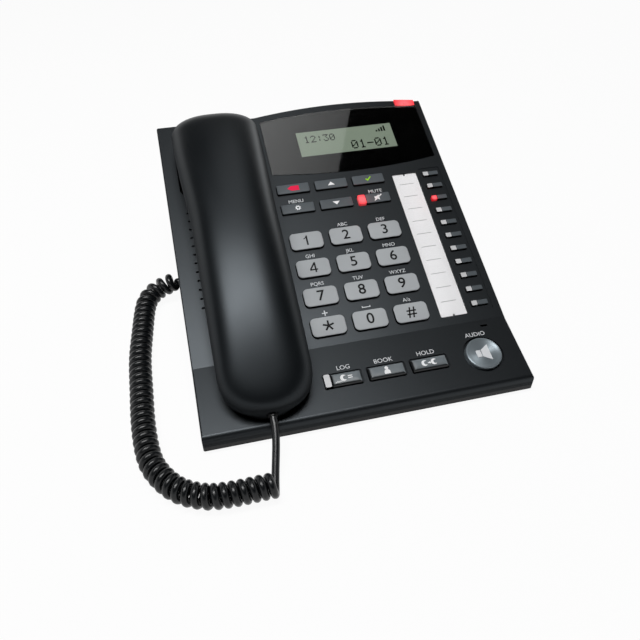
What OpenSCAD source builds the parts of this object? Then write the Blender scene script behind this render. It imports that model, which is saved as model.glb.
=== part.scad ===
// Desk telephone with a corded handset lying in its cradle, a display and sprung keys.
// Millimetres. The origin is on the table under the middle of the case, +Y to the rear, +Z up.

/* [Handset] */
// Length of the handset along the deck
handset_len = 205; // [185:1:230]
// Width of the handset
handset_w = 51; // [48:0.5:55]
// Height of the seam between the two halves, above the deck
seam_h = 13.5; // [13:0.1:15]
// Height of the crown in the middle, above the deck
crown_h = 30; // [26:0.5:34]
// How much lower the crown is at both ends
crown_drop = 6.5; // [4:0.5:8]
// Space under the grip for the fingers
grip_h = 10; // [8.5:0.1:10.5]
// Wall thickness of the handset shells
shell_t = 2; // [1.6:0.1:2.4]
// Radius of the round ear cap
ear_r = 22; // [19:0.5:22.5]
// Radius of the round mouth cap
mouth_r = 21; // [18:0.5:21.5]
// How far the mouth end reaches over the crease, down to the front
mouth_reach = 37.05; // [36:0.05:39]
// Least distance from the ear end to the rear edge of the deck
ear_margin = 9; // [8:0.1:12]

/* [Keys] */
// Width of a dial key
dial_w = 20.5; // [17:0.1:22]
// Height of a dial key
dial_h = 12.2; // [10:0.1:14]
// Corner radius of a dial key
dial_r = 3; // [1:0.1:4.5]
// How far a dial key stands out of the deck
dial_top = 2; // [1.6:0.1:3]
// Distance between the columns
col_pitch = 25.2; // [24.5:0.1:29]
// Distance between the dial rows
row_pitch = 20; // [18.5:0.1:24]
// Distance of the lowest dial row from the crease
first_row = 11.8; // [10.5:0.1:15]
// Width of a function key
nav_w = 21.2; // [18:0.1:22.5]
// Height of a function key
nav_h = 7.1; // [5.5:0.1:9]
// Distance between the two function rows
nav_pitch = 15.8; // [14:0.1:20]
// Distance from the top dial row to the lower function row
nav_gap = 25.4; // [20:0.1:30]
// How far a function key stands out of the deck
nav_top = 1.7; // [1.3:0.1:2.5]
// Width of a line key
line_w = 6.5; // [5:0.1:8]
// Height of a line key
line_h = 3.1; // [2.4:0.1:4.2]
// How far line, lower and loudspeaker keys stand out of the case
low_top = 1.3; // [1.2:0.1:2]
// Width of a lamp lens beside a line key
lamp_w = 3.5; // [2.5:0.1:4.5]
// Width of the lamp lens in a function key
mute_lamp_w = 4.8; // [3:0.1:6]
// Height of a lower key
lower_h = 8; // [6:0.1:9.5]
// Distance of the lower keys from the crease
lower_drop = 22.9; // [20:0.1:24.5]
// Radius of the loudspeaker key
speaker_r = 10.3; // [8:0.1:11.5]
// Distance of the loudspeaker key from the right side of the case
speaker_inset = 22.8; // [21:0.1:26]
// Travel of a key
key_travel = 1.5; // [1:0.1:1.6]
// Clearance between a key and its slot
key_gap = 0.35; // [0.3:0.05:0.5]

/* [Layout] */
// Space from the left side of the case to the handset
side_margin = 12.4; // [11.4:0.1:16]
// Space from the handset to the first key column
keypad_gap = 6.5; // [6:0.1:10]
// Space from the last key column to the label card
card_gap = 7.2; // [6:0.1:10]
// Width of the label card
card_w = 16.6; // [12:0.1:20]
// Space from the label card to the line lamps
line_gap = 4; // [3:0.1:6]
// Space from the line keys to the right side of the case
right_margin = 7.3; // [6.5:0.1:12]
// Space from the upper function row to the display window
win_gap = 10.5; // [9:0.1:16]
// Height of the display window at its sides
win_h = 46.3; // [40:0.1:52]
// Bow of the upper and lower edges of the window
win_bow = 4.3; // [3:0.1:4.8]
// Space from the window to the rear edge of the deck
rear_margin = 4.7; // [4.2:0.1:8]
// Width of the picture on the display
lcd_w = 67.4; // [50:0.1:75]
// Height of the picture on the display
lcd_h = 21.4; // [16:0.1:26]
// Width of the message lamp
message_w = 14; // [10:0.1:18]
// Length of the message lamp along the deck, from its rear edge
message_len = 3.5; // [2.5:0.1:3.6]
// How far the message lamp stands out of the case
message_proud = 0.5; // [0.2:0.1:1.5]

/* [Case] */
// Slope of the deck, in degrees
deck_tilt = 20; // [18:0.5:22]
// Slope of the front panel, in degrees
front_tilt = 11.5; // [10:0.5:12.5]
// Height of the crease between them above the table
crease_h = 19.3; // [19:0.1:24]
// Space from the mouth end of the handset to the front wall
front_margin = 5.9; // [5:0.1:9]
// Bow of the rear wall
rear_bow = 4.7; // [3:0.1:6]
// Wall thickness of the case
wall = 2.2; // [2:0.1:2.4]
// Rounding of the side edges
edge_r = 0.8; // [0.5:0.1:3.5]
// Rounding of the front edge
nose_r = 4; // [3.5:0.1:6]
// Rounding of the upright corners
corner_r = 1; // [0.8:0.1:5]
// Height of the feet
foot_h = 1.8; // [1.6:0.1:2.4]
// Radius of the feet
foot_r = 6; // [4:0.5:8]

/* [Cradle] */
// Width of the ear well
ear_well_w = 58; // [57:0.1:58.5]
// Length of the ear well along the deck
ear_well_len = 54; // [50:0.1:55]
// Depth of the ear well
ear_well_d = 6; // [5:0.1:7]
// Space around the mouth cap in its well
mouth_space = 2; // [1.5:0.1:2.2]
// Clearance under the resting handset
rest_gap = 0.3; // [0.3:0.05:0.5]
// Height of the floor of the mouth well above the deck plane
mouth_floor = 1.2; // [1:0.1:1.6]
// Number of sound slots under the handset
slot_count = 12; // [8:1:12]
// Distance between the sound slots
slot_pitch = 6.2; // [4:0.1:6.3]

/* [Cord] */
// Diameter of the cord
cord_d = 3.8; // [3.2:0.1:3.9]
// Outside diameter of the curls
coil_d = 12.8; // [12:0.1:13.4]
// Distance between the curls where the cord lies loose
loose_pitch = 4.7; // [4.7:0.1:5.6]
// Distance between the curls near the handset
tight_pitch = 4.5; // [4.5:0.1:5.4]

/* [Hidden] */
$fn = 48;
run_gap = 0.3;
flange_t = 1;
flange_out = 1.2;
split_z = 5;
floor_t = 2.2;
fit = 0.25;

// Layout across the case, from its left side
lens_gap = 0.3;
nav_side = (nav_w - dial_w) / 2;
body_w = side_margin + handset_w + keypad_gap + dial_w + 2 * col_pitch + card_gap + card_w
    + line_gap + lamp_w + lens_gap + line_w + right_margin;
left_x = -body_w / 2;
right_x = body_w / 2;
handset_x = left_x + side_margin + handset_w / 2;
col_0 = handset_x + handset_w / 2 + keypad_gap + dial_w / 2;
col_x = [for (i = [0:2]) col_0 + i * col_pitch];
card_x = col_x[2] + dial_w / 2 + card_gap + card_w / 2;
lamp_x = card_x + card_w / 2 + line_gap + lamp_w / 2;
line_x = lamp_x + lamp_w / 2 + lens_gap + line_w / 2;
speaker_x = right_x - speaker_inset;

// Layout along the deck, from the crease
row_s = [for (j = [0:3]) first_row + (3 - j) * row_pitch];
nav_s = [row_s[0] + nav_gap + nav_pitch, row_s[0] + nav_gap];
line_first = 11.2;
line_pitch = (nav_s[0] - 1.4 - line_first) / 10;
line_s = [for (i = [0:10]) line_first + (10 - i) * line_pitch];
card_s0 = 5.9;
card_s1 = nav_s[0] + 1.7;
win_s0 = nav_s[0] + nav_h / 2 + win_gap;
win_s1 = win_s0 + win_h;
win_x0 = col_x[0] - dial_w / 2 - 0.7;
win_x1 = right_x - 4.5;
win_x = (win_x0 + win_x1) / 2;
win_w = win_x1 - win_x0;
mouth_end = -mouth_reach;
ear_end = mouth_end + handset_len;
deck_len = max(win_s1 + rear_margin, ear_end + ear_margin);
ear_s = ear_end - ear_r - 1;
mouth_s = mouth_end + mouth_r - 0.3;

// The case in the shared frame
front_run = front_margin - mouth_end;
deck_run = deck_len * cos(deck_tilt);
body_d = front_run + deck_run + rear_bow;
front_y = -body_d / 2;
crease_y = front_y + front_run;
rear_y = crease_y + deck_run;
bow_x0 = win_x0 - 3;
bow_x1 = right_x - 3.4;
bow_x = (bow_x0 + bow_x1) / 2;
bow_w = bow_x1 - bow_x0;
bow_radius = bow_w * bow_w / (8 * rear_bow) + rear_bow / 2;
case_z = foot_h;
floor_z = case_z + floor_t;
board_z = 5.5;
board_t = 1.6;
board_top = board_z + board_t;

// Shallow recesses round the lower keys and the loudspeaker key
pocket_w = 0.5;
pocket_d = 0.8;
groove_w = 1.5;
groove_d = 1.5;

// Layers under the deck skin
flange_z = -wall - run_gap - flange_t;
mat_z = flange_z - key_travel - run_gap;
mat_t = 1.2;
key_board_z = mat_z - mat_t;
win_t = 1.3;
win_proud = 0.2;

// Heights of the caps and the plug of the handset, above the deck
ear_cap_h = -ear_well_d + rest_gap;
mouth_cap_h = mouth_floor + rest_gap;
ear_low = 5;
mouth_low = 7.5;
cap_t = 2;
plug_h = 10.2;
boot_r = 2.7;
boot_out = 1.5;
mouth_well_r = mouth_r + mouth_space;
mouth_block = 2 * mouth_well_r + 3.2;

// Jack of the handset cord in the left wall
jack_y = crease_y + 87.2;
jack_z = board_top + 4.6;
plug_w = 7.6;
plug_t = 6;

// Hook plunger
hook_s = mouth_s + 2;
hook_r = 3.4;
hook_travel = 3;

// Loudspeaker and its sound slots, under the grip
slot_s = (mouth_s + ear_s) / 2 + 6.7;
driver_r = 26;
driver_neck_r = 17;
driver_rim_t = 3;
driver_cone_t = 6.2;
driver_t = 16;

// Antenna plate on the rear wall
antenna_w = 50;
antenna_h = 14;
antenna_t = 1;
antenna_z = 26;
antenna_x = handset_x;
antenna_pegs = [antenna_x - 18, antenna_x + 18];

// Power inlet in the rear wall
dc_x = right_x - 26;
dc_z = board_top + 5.2;

// Main board: a plate under the deck, with tongues under the lower keys, the hook and the power inlet
board_side = 5;
board_front = crease_y + 6.6;
board_len = 88;
board_rear = board_front + board_len;
hook_left = 18.9;
hook_right = 30;
hook_room = 9.6;
dc_left = 17;
dc_right = 13;
tongue_lap = 12;

// Posts under the lower keys: pressed down, they end just over the switches on the main board
switch_h = 0.4;
post_r = 2;
post_h = (crease_h - (lower_drop + post_r) * sin(front_tilt) - board_top - switch_h - run_gap) / cos(front_tilt)
    + flange_z - key_travel;

// Height of the cuts that run out above the case
cut_h = 60;

// Screws
screw_xy = [[left_x + 7.4, crease_y - 15.4], [right_x - 7.4, crease_y - 15.4], [left_x + 7.4, rear_y - 18],
    [right_x - 7.4, rear_y - 18]];

// Cross in a screw head
cross_w = 4;
cross_t = 0.8;

// Battery bay in the floor
bay_x = 0;
bay_inset = 43;
bay_y = rear_y - bay_inset;
cell_w = 56;
cell_l = 40;
cell_t = 9;
door_t = 1.3;
door_grip_w = 18;

// Frames of the deck and of the front panel: x across, y up the slope, z out of the surface
module on_deck() translate([0, crease_y, crease_h]) rotate([deck_tilt, 0, 0]) children();
module on_front() translate([0, crease_y, crease_h]) rotate([front_tilt, 0, 0]) children();

module rounded(w, h, r) {
    square([w - 2 * r, h], center = true);
    square([w, h - 2 * r], center = true);
    for (x = [-1, 1], y = [-1, 1])
        translate([x * (w / 2 - r), y * (h / 2 - r)]) circle(r);
}

// Plan of the case, with its bowed rear wall
module plan(inset) {
    w = body_w - 2 * inset;
    d = front_run + deck_run - 2 * inset;
    r = max(corner_r - inset, 0.5);
    translate([0, front_y + (front_run + deck_run) / 2]) rounded(w, d, r);
    intersection() {
        translate([bow_x, rear_y + rear_bow - bow_radius]) circle(bow_radius - inset, $fn = 720);
        translate([bow_x - bow_w / 2, rear_y - 12]) square([bow_w, 30]);
    }
}

// Section across the deck or the front panel, with rounded side edges
module slab_section(inset, more_r) {
    w = body_w - 2 * inset;
    r = max(edge_r - inset, 0.4) + more_r;
    translate([-w / 2, -160]) square([w, 160 - inset - r]);
    translate([-w / 2 + r, -160]) square([w - 2 * r, 160 - inset]);
    for (x = [-1, 1])
        translate([x * (w / 2 - r), -inset - r]) circle(r);
}

module slab(inset, more_r)
    translate([0, 260, 0]) rotate([90, 0, 0]) linear_extrude(420) slab_section(inset, more_r);

// The front panel is a little rounder at its sides, so that its edges don't run into those of the deck
front_more_r = 0.3;

// Rounded front edge, a hair under the two faces that it joins
nose_step = 0.03;
module nose(inset) {
    r = max(nose_r - inset, 0.5);
    cy = front_y + inset + r;
    cz = crease_h + (sin(front_tilt) * (cy - crease_y) - inset - r) / cos(front_tilt);
    translate([-150, 0, 0]) rotate([90, 0, 90]) linear_extrude(300) {
        translate([cy, cz]) circle(r - nose_step);
        translate([cy, cz]) rotate(front_tilt) translate([0, -200]) square([400, 400]);
        translate([front_y + inset, cz - 200]) square([400, 200]);
    }
}

module body(inset) {
    intersection() {
        translate([0, 0, split_z]) linear_extrude(150) plan(inset);
        union() {
            on_deck() slab(inset, 0);
            intersection() {
                on_front() slab(inset, front_more_r);
                nose(inset);
            }
        }
    }
}

// Height of the rear wall's outer face at a place across the case
function rear_at(x) = rear_y + rear_bow - bow_radius + sqrt(pow(bow_radius, 2) - pow(x - bow_x, 2));

module slot(x, y, w, h, r)
    translate([x, y, -8]) linear_extrude(16) rounded(w + 2 * key_gap, h + 2 * key_gap, r);

module window_outline(grow) {
    radius = win_w * win_w / (8 * win_bow) + win_bow / 2;
    intersection() {
        translate([win_x - win_w / 2 - grow, win_s0 - 20]) square([win_w + 2 * grow, win_h + 40]);
        translate([win_x, win_s1 + win_bow - radius]) circle(radius + grow, $fn = 720);
        translate([win_x, win_s0 - win_bow + radius]) circle(radius + grow, $fn = 720);
    }
}

// Lamp over the rear right edge
message_x = right_x - 4.6 - message_w / 2;
message_s = deck_len - message_len;
module message_block(grow, depth)
    on_deck() translate([message_x - message_w / 2 - grow, message_s - grow, -depth])
        cube([message_w + 2 * grow, 30, depth + 10]);

module ear_well(grow, top)
    on_deck() translate([handset_x, ear_well_s, -ear_well_d - (grow > 0 ? 2 : 0)])
        linear_extrude(top) rounded(ear_well_w + 2 * grow, ear_well_len + 2 * grow, 5 + grow);
ear_well_s = ear_s + 1;

module mouth_well()
    on_deck() translate([handset_x, mouth_s, mouth_floor]) cylinder(r = mouth_well_r, h = cut_h);

post_xs = [for (i = [0:1], j = [0:1]) [(col_x[i] + col_x[i + 1]) / 2, (row_s[2 * j] + row_s[2 * j + 1]) / 2]];

// Middle of a lamp lens and its line key together
pair_x = (lamp_x - lamp_w / 2 + line_x + line_w / 2) / 2;

jack_face = left_x + wall + 0.2;
jack_len = 12;

module upper_case() color([0.2, 0.22, 0.24]) {
    difference() {
        union() {
            difference() {
                body(0);
                body(wall);
            }
            intersection() {
                body(0);
                ear_well(1.6, 40);
            }
            intersection() {
                on_deck() translate([handset_x - mouth_block / 2, mouth_s - mouth_block / 2, mouth_floor - 2])
                    cube([mouth_block, mouth_block, 40]);
                on_front() translate([-150, -60, -60]) cube([300, 68, 60 - wall / 2]);
                nose(wall / 2);
                translate([-150, -150, split_z]) cube([300, 300, 60]);
            }
            intersection() {
                body(wall / 2);
                for (p = screw_xy) translate([p[0], p[1], 0]) cylinder(r = 3.5, h = 120);
            }
            on_deck() for (p = post_xs)
                translate([p[0], p[1], key_board_z]) cylinder(r = 2, h = -key_board_z - wall / 2);
            for (x = antenna_pegs) translate([x, rear_y - wall / 2, antenna_z]) rotate([90, 0, 0])
                cylinder(r = 1, h = wall / 2 + 2);
        }
        ear_well(0, cut_h);
        mouth_well();
        for (p = screw_xy) translate([p[0], p[1], 0]) cylinder(r = 1.55, h = split_z + 9);
        on_deck() {
            for (x = col_x, s = row_s) slot(x, s, dial_w, dial_h, dial_r + key_gap);
            for (x = col_x, s = nav_s) slot(x, s, nav_w, nav_h, 1);
            for (s = line_s)
                slot(pair_x, s, lamp_w + lens_gap + line_w, line_h, 0.5);
            translate([0, 0, win_proud - win_t]) linear_extrude(20) window_outline(fit);
            translate([win_x, (win_s0 + win_s1) / 2, -8]) linear_extrude(20) rounded(lcd_w + 3, lcd_h + 3, 1);
            translate([card_x, (card_s0 + card_s1) / 2, -1.3]) linear_extrude(10)
                rounded(card_w + 2 * fit, card_s1 - card_s0 + 2 * fit, 0.8);
            translate([0, 0, -0.4]) linear_extrude(10)
                translate([pair_x, (line_s[0] + line_s[10]) / 2])
                    rounded(lamp_w + line_w + lens_gap + 5, line_s[0] - line_s[10] + line_h + 8, 1.5);
            for (i = [0:slot_count - 1])
                translate([handset_x, slot_s + (i - (slot_count - 1) / 2) * slot_pitch, -8]) linear_extrude(16)
                    rounded(handset_w + 3.6, 1.3, 0.6);
        }
        on_front() {
            for (x = col_x) {
                slot(x, -lower_drop, nav_w, lower_h, 1);
                translate([x, -lower_drop, -pocket_d]) linear_extrude(16)
                    rounded(nav_w + 2 * (key_gap + pocket_w), lower_h + 2 * (key_gap + pocket_w), 1 + pocket_w);
            }
            translate([speaker_x, -lower_drop, -8]) cylinder(r = speaker_r + key_gap, h = 16);
            translate([speaker_x, -lower_drop, -groove_d]) cylinder(r = speaker_r + groove_w, h = 16);
            translate([right_x - 15, -4.2, -8]) linear_extrude(16) rounded(4.4, 1.4, 0.65);
        }
        on_deck() translate([handset_x, hook_s, -12]) cylinder(r = hook_r + fit, h = 20);
        message_block(fit, 5.5);
        translate([left_x - 5, jack_y, jack_z]) rotate([0, 90, 0])
            linear_extrude(12) rounded(plug_t + 1.4, plug_w + 1.4, 0.8);
        translate([dc_x, rear_y + 20, dc_z]) rotate([90, 0, 0]) cylinder(r = 4.1, h = 40);
    }
}

module lower_case() color([0.16, 0.17, 0.18]) {
    difference() {
        union() {
            translate([0, 0, case_z]) linear_extrude(floor_t) plan(0);
            translate([0, 0, case_z]) linear_extrude(split_z - case_z) difference() {
                plan(0);
                plan(wall);
            }
            translate([0, 0, case_z]) linear_extrude(split_z + 2 - case_z) difference() {
                plan(wall + fit);
                plan(wall + fit + 1.2);
            }
            for (p = screw_xy) translate([p[0], p[1], case_z]) cylinder(r = 3.4, h = split_z - 0.1 - case_z);
            for (p = stand_xy) translate([p[0], p[1], case_z]) cylinder(r = 3, h = board_z - case_z);
            translate([bay_x - cell_w / 2 - 2, bay_y - cell_l / 2 - 2, case_z])
                cube([cell_w + 4, cell_l + 4, floor_t + cell_t + 1.8]);
        }
        for (p = screw_xy) {
            translate([p[0], p[1], case_z - 1]) cylinder(r = 1.7, h = 20);
            translate([p[0], p[1], case_z - 1]) cylinder(r = 3.1, h = 3);
        }
        for (p = foot_xy) translate([p[0], p[1], case_z - 1]) cylinder(r = foot_r + fit, h = 1.6);
        translate([bay_x - cell_w / 2 - 0.5, bay_y - cell_l / 2 - 0.5, case_z - 1])
            cube([cell_w + 1, cell_l + 1, 1 + door_t + 0.4 + cell_t + 0.3]);
        translate([bay_x, bay_y, case_z - 1]) linear_extrude(1 + door_t + 0.2)
            rounded(cell_w + 9 + 2 * fit, cell_l + 9 + 2 * fit, 3);
    }
}

// Stands of the main board, and the feet
stand_side = 20;
stand_in = 7.4;
stand_run = 62;
stand_xy = [for (y = [board_front + stand_in, board_front + stand_in + stand_run],
    x = [left_x + stand_side, right_x - stand_side]) [x, y]];
foot_side = 21;
foot_front = 13;
foot_rear = 14;
foot_xy = [for (y = [front_y + foot_front, rear_y - foot_rear],
    x = [left_x + foot_side, right_x - foot_side]) [x, y]];

module rubber_feet() color([0.08, 0.08, 0.08])
    for (p = foot_xy) translate([p[0], p[1], 0]) cylinder(r = foot_r, h = case_z + 0.5);

module case_screws() color([0.6, 0.6, 0.62])
    for (p = screw_xy) difference() {
        union() {
            translate([p[0], p[1], case_z + 0.2]) cylinder(r = 2.8, h = 1.8);
            translate([p[0], p[1], case_z + 1]) cylinder(r = 1.5, h = split_z + 8 - case_z - 1);
        }
        translate([p[0] - cross_w / 2, p[1] - cross_t / 2, case_z]) cube([cross_w, cross_t, 0.9]);
        translate([p[0] - cross_t / 2, p[1] - cross_w / 2, case_z]) cube([cross_t, cross_w, 0.9]);
    }

module battery_pack() color([0.3, 0.32, 0.5])
    translate([bay_x, bay_y, case_z + door_t + 0.4]) linear_extrude(cell_t) rounded(cell_w, cell_l, 2);

module battery_door() color([0.16, 0.17, 0.18])
    translate([bay_x, bay_y, case_z]) difference() {
        linear_extrude(door_t) rounded(cell_w + 9, cell_l + 9, 3);
        for (i = [0:3])
            translate([-door_grip_w / 2, cell_l / 2 - 8 + 2.4 * i, -1]) cube([door_grip_w, 1.2, 1.5]);
    }

module display_window() color([0.03, 0.03, 0.035])
    on_deck() translate([0, 0, win_proud - win_t + 0.1]) linear_extrude(win_t - 0.1) window_outline(0);

module lcd_panel() color([0.56, 0.6, 0.53])
    on_deck() translate([win_x, (win_s0 + win_s1) / 2, 0]) {
        translate([0, 0, -3]) linear_extrude(3 + win_proud - win_t - 0.1)
            rounded(lcd_w + 2, lcd_h + 2, 0.8);
        translate([0, 0, key_board_z]) linear_extrude(-key_board_z - wall - 0.2)
            rounded(lcd_w + 10, lcd_h + 10, 0.8);
    }

module message_lamp() color([0.85, 0.1, 0.1])
    difference() {
        intersection() {
            message_block(0, 5.2);
            body(-message_proud);
        }
        on_deck() translate([0, 0, -8]) linear_extrude(16) window_outline(0.4);
    }

module card_shape(grow)
    translate([card_x, (card_s0 + card_s1) / 2]) difference() {
        rounded(card_w + 2 * grow, card_s1 - card_s0 + 2 * grow, 0.6);
        for (s = [-1, 1])
            translate([0, s * (card_s1 - card_s0) / 2]) square([1.2, 2.6], center = true);
    }

module label_card() color([0.94, 0.94, 0.94])
    on_deck() translate([0, 0, -1.3]) linear_extrude(0.4) card_shape(0);

module label_cover() color([0.9, 0.92, 0.95])
    on_deck() translate([0, 0, -0.9]) linear_extrude(0.8) card_shape(0);

// A key: the cap through the skin, with a flange under it in front and behind
module key(x, y, w, h, r, top) translate([x, y, 0]) {
    translate([0, 0, flange_z]) linear_extrude(top - flange_z) rounded(w, h, r);
    translate([0, 0, flange_z]) linear_extrude(flange_t) rounded(w, h + 2 * flange_out, min(r, 0.8));
}

module lamp_lenses() color([0.9, 0.9, 0.9]) {
    on_deck() {
        for (s = line_s)
            translate([lamp_x, s, mat_z + 0.1]) linear_extrude(low_top - 0.2 - mat_z)
                rounded(lamp_w, line_h, 0.4);
        translate([col_x[2] - nav_w / 2 + mute_lamp_w / 2, nav_s[1], mat_z + 0.1])
            linear_extrude(nav_top - 0.1 - mat_z) rounded(mute_lamp_w, nav_h, 0.8);
    }
    on_front() translate([col_x[0] - nav_w / 2 + lamp_w / 2, -lower_drop, flange_z])
        linear_extrude(low_top - flange_z) rounded(lamp_w, lower_h, 0.8);
}

module key_mat() color([0.25, 0.25, 0.26])
    on_deck() difference() {
        translate([col_x[0] - nav_w / 2, 4, key_board_z])
            cube([line_x + line_w / 2 + 1 - col_x[0] + nav_w / 2, nav_s[0] + nav_h / 2, mat_t]);
        for (p = post_xs) translate([p[0], p[1], key_board_z - 2]) cylinder(r = 2.5, h = 8);
    }

module key_board() color([0.1, 0.35, 0.2])
    on_deck() {
        translate([col_x[0] - nav_w / 2, 4, key_board_z - board_t])
            cube([line_x + line_w / 2 + 1 - col_x[0] + nav_w / 2, nav_s[0] + nav_h / 2, board_t]);
        translate([win_x - lcd_w / 2 - 6, nav_s[0], key_board_z - board_t])
            cube([lcd_w + 12, (win_s0 + win_s1) / 2 + lcd_h / 2 + 6 - nav_s[0], board_t]);
    }

module main_board() color([0.1, 0.32, 0.2]) {
    translate([left_x + board_side, board_front, board_z]) cube([body_w - 14, board_len, board_t]);
    translate([col_x[0] - nav_w / 2 - 3, front_y + 8.5, board_z])
        cube([right_x - 12 - col_x[0] + nav_w / 2 + 3, front_run + 10, board_t]);
    translate([handset_x - hook_left, hook_tip_y - hook_room, board_z])
        cube([hook_left + hook_right, board_front + tongue_lap - hook_tip_y + hook_room, board_t]);
    translate([dc_x - dc_left, board_rear - tongue_lap, board_z])
        cube([dc_left + dc_right, rear_y - rear_bow - board_rear + tongue_lap, board_t]);
    // Switches under the lower keys, the loudspeaker key and the hook plunger
    for (x = [col_x[0] + 2, col_x[1], col_x[2], speaker_x])
        translate([x - 2.5, key_tip_y - 2.5, board_z]) cube([5, 5, board_t + switch_h]);
    translate([handset_x - 3, hook_tip_y - 3, board_z]) cube([6, 6, board_t + 0.7]);
}

// Where the lower keys and the hook plunger point at the board
key_tip_y = crease_y - lower_drop * cos(front_tilt) + 6 * sin(front_tilt);
hook_tip_y = crease_y + hook_s * cos(deck_tilt) + 5 * sin(deck_tilt);

module loudspeaker() color([0.12, 0.12, 0.12])
    on_deck() translate([handset_x, slot_s, -wall]) {
        translate([0, 0, -driver_rim_t - 0.1]) cylinder(r = driver_r, h = driver_rim_t);
        translate([0, 0, -driver_rim_t - 6]) cylinder(r1 = driver_neck_r, r2 = driver_r - 1, h = driver_cone_t);
        translate([0, 0, -driver_t]) cylinder(r = driver_neck_r, h = driver_t - 8);
    }

module dc_jack() color([0.07, 0.07, 0.07]) {
    face = rear_at(dc_x) - wall - 0.5;
    difference() {
        union() {
            translate([dc_x - 4.5, face - 12, board_top]) cube([9, 12, 10]);
            translate([dc_x, rear_at(dc_x) - 0.4, dc_z]) rotate([90, 0, 0]) cylinder(r = 3.8, h = wall + 4);
        }
        translate([dc_x, rear_at(dc_x) + 5, dc_z]) rotate([90, 0, 0]) cylinder(r = 2.9, h = 5 + 10);
    }
}

module cord_jack() color([0.07, 0.07, 0.07])
    difference() {
        translate([jack_face, jack_y - 6, board_top]) cube([jack_len + 2, 12, 9.6]);
        translate([jack_face - 1, jack_y - plug_w / 2 - fit, jack_z - plug_t / 2 - fit])
            cube([jack_len + 1, plug_w + 2 * fit, plug_t + 2 * fit]);
    }

plug_face = left_x - 0.2;
module base_plug() color([0.75, 0.75, 0.75])
    translate([plug_face, jack_y - plug_w / 2, jack_z - plug_t / 2])
        cube([jack_face + jack_len - 1 - plug_face, plug_w, plug_t]);

module antenna() color([0.75, 0.6, 0.2])
    difference() {
        translate([antenna_x - antenna_w / 2, rear_y - wall - antenna_t - 0.2, antenna_z - antenna_h / 2])
            cube([antenna_w, antenna_t, antenna_h]);
        for (x = antenna_pegs) translate([x, rear_y, antenna_z]) rotate([90, 0, 0]) cylinder(r = 1.15, h = 20);
    }

module hook_plunger() color([0.3, 0.3, 0.3])
    on_deck() translate([handset_x, hook_s, 0]) {
        translate([0, 0, mouth_floor - 2 - hook_travel - 0.3 - 1])
            cylinder(r = hook_r, h = 3 + hook_travel + 0.3);
        translate([0, 0, mouth_floor - 2 - hook_travel - 0.3 - 1]) cylinder(r = 4.4, h = 1);
    }

// Handset surface: plan width, crown and lower side at a place along the deck
function ramp(a, b, v) = let(t = min(max((v - a) / (b - a), 0), 1)) t * t * (3 - 2 * t);
mouth_a = 25;
ear_a = 18;
function end_t(s, cut) = s < mouth_end + mouth_a ? (mouth_end + mouth_a - s) / (mouth_a - cut)
    : s > ear_end - ear_a ? (s - ear_end + ear_a) / (ear_a - cut) : 0;
function end_f(t, n) = t >= 1 ? 0 : pow(1 - pow(t, n), 1 / n);
function half_w(s, cut) = (handset_w / 2 - cut) * end_f(end_t(s, cut), 2.5);
mid_s = (mouth_end + ear_end) / 2;
function crown_at(s, cut) = let(u = (s - mid_s) / (handset_len / 2))
    seam_h + (crown_h - crown_drop * u * u - seam_h - cut) * end_f(end_t(s, cut), 3.6);
function low_at(s, cut) = let(
        grip = mouth_low + (grip_h - mouth_low) * ramp(mouth_s + mouth_r + 4, mouth_s + mouth_r + 26, s),
        base = grip + (ear_low - grip_h) * ramp(ear_s - ear_r - 26, ear_s - ear_r, s))
    seam_h - (seam_h - base - cut) * end_f(end_t(s, cut), 3.6);
function sgn_pow(v, e) = sign(v) * pow(abs(v), e);
ring_n = 16;
// One station of the upper or lower half; past lifts the open side beyond the seam
function half_ring(s, cut, up, past) = let(w = half_w(s, cut), z1 = up > 0 ? crown_at(s, cut) : low_at(s, cut))
    concat(past > 0 ? [[w, s, seam_h - up * past]] : [],
        [for (k = [0:ring_n]) let(a = 180 * k / ring_n)
            [w * sgn_pow(cos(a), 0.8), s, seam_h + (z1 - seam_h) * pow(sin(a), up > 0 ? 0.8 : 0.6)]],
        past > 0 ? [[-w, s, seam_h - up * past]] : []);
station_n = 26;
function stations(cut) = [for (i = [1:station_n - 1])
    mid_s + (handset_len / 2 - cut) * sin(180 * i / station_n - 90) * 0.999];

module skin(rings, flip) {
    n = len(rings);
    m = len(rings[0]);
    points = [for (r = rings) each r];
    sides = [for (i = [0:n - 2], k = [0:m - 1]) each [
        [i * m + k, (i + 1) * m + k, (i + 1) * m + (k + 1) % m],
        [i * m + k, (i + 1) * m + (k + 1) % m, i * m + (k + 1) % m]]];
    first = [for (k = [1:m - 2]) [0, k, k + 1]];
    last = [for (k = [1:m - 2]) [(n - 1) * m, (n - 1) * m + k + 1, (n - 1) * m + k]];
    faces = concat(sides, first, last);
    polyhedron(points = points, faces = flip ? [for (f = faces) [f[2], f[1], f[0]]] : faces, convexity = 6);
}

module half(cut, up, past) skin([for (s = stations(cut)) half_ring(s, cut, up, past)], up > 0);

module handset_back() color([0.05, 0.05, 0.055])
    on_deck() translate([handset_x, 0, 0]) difference() {
        half(0, 1, 0);
        half(shell_t, 1, 1);
    }

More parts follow.
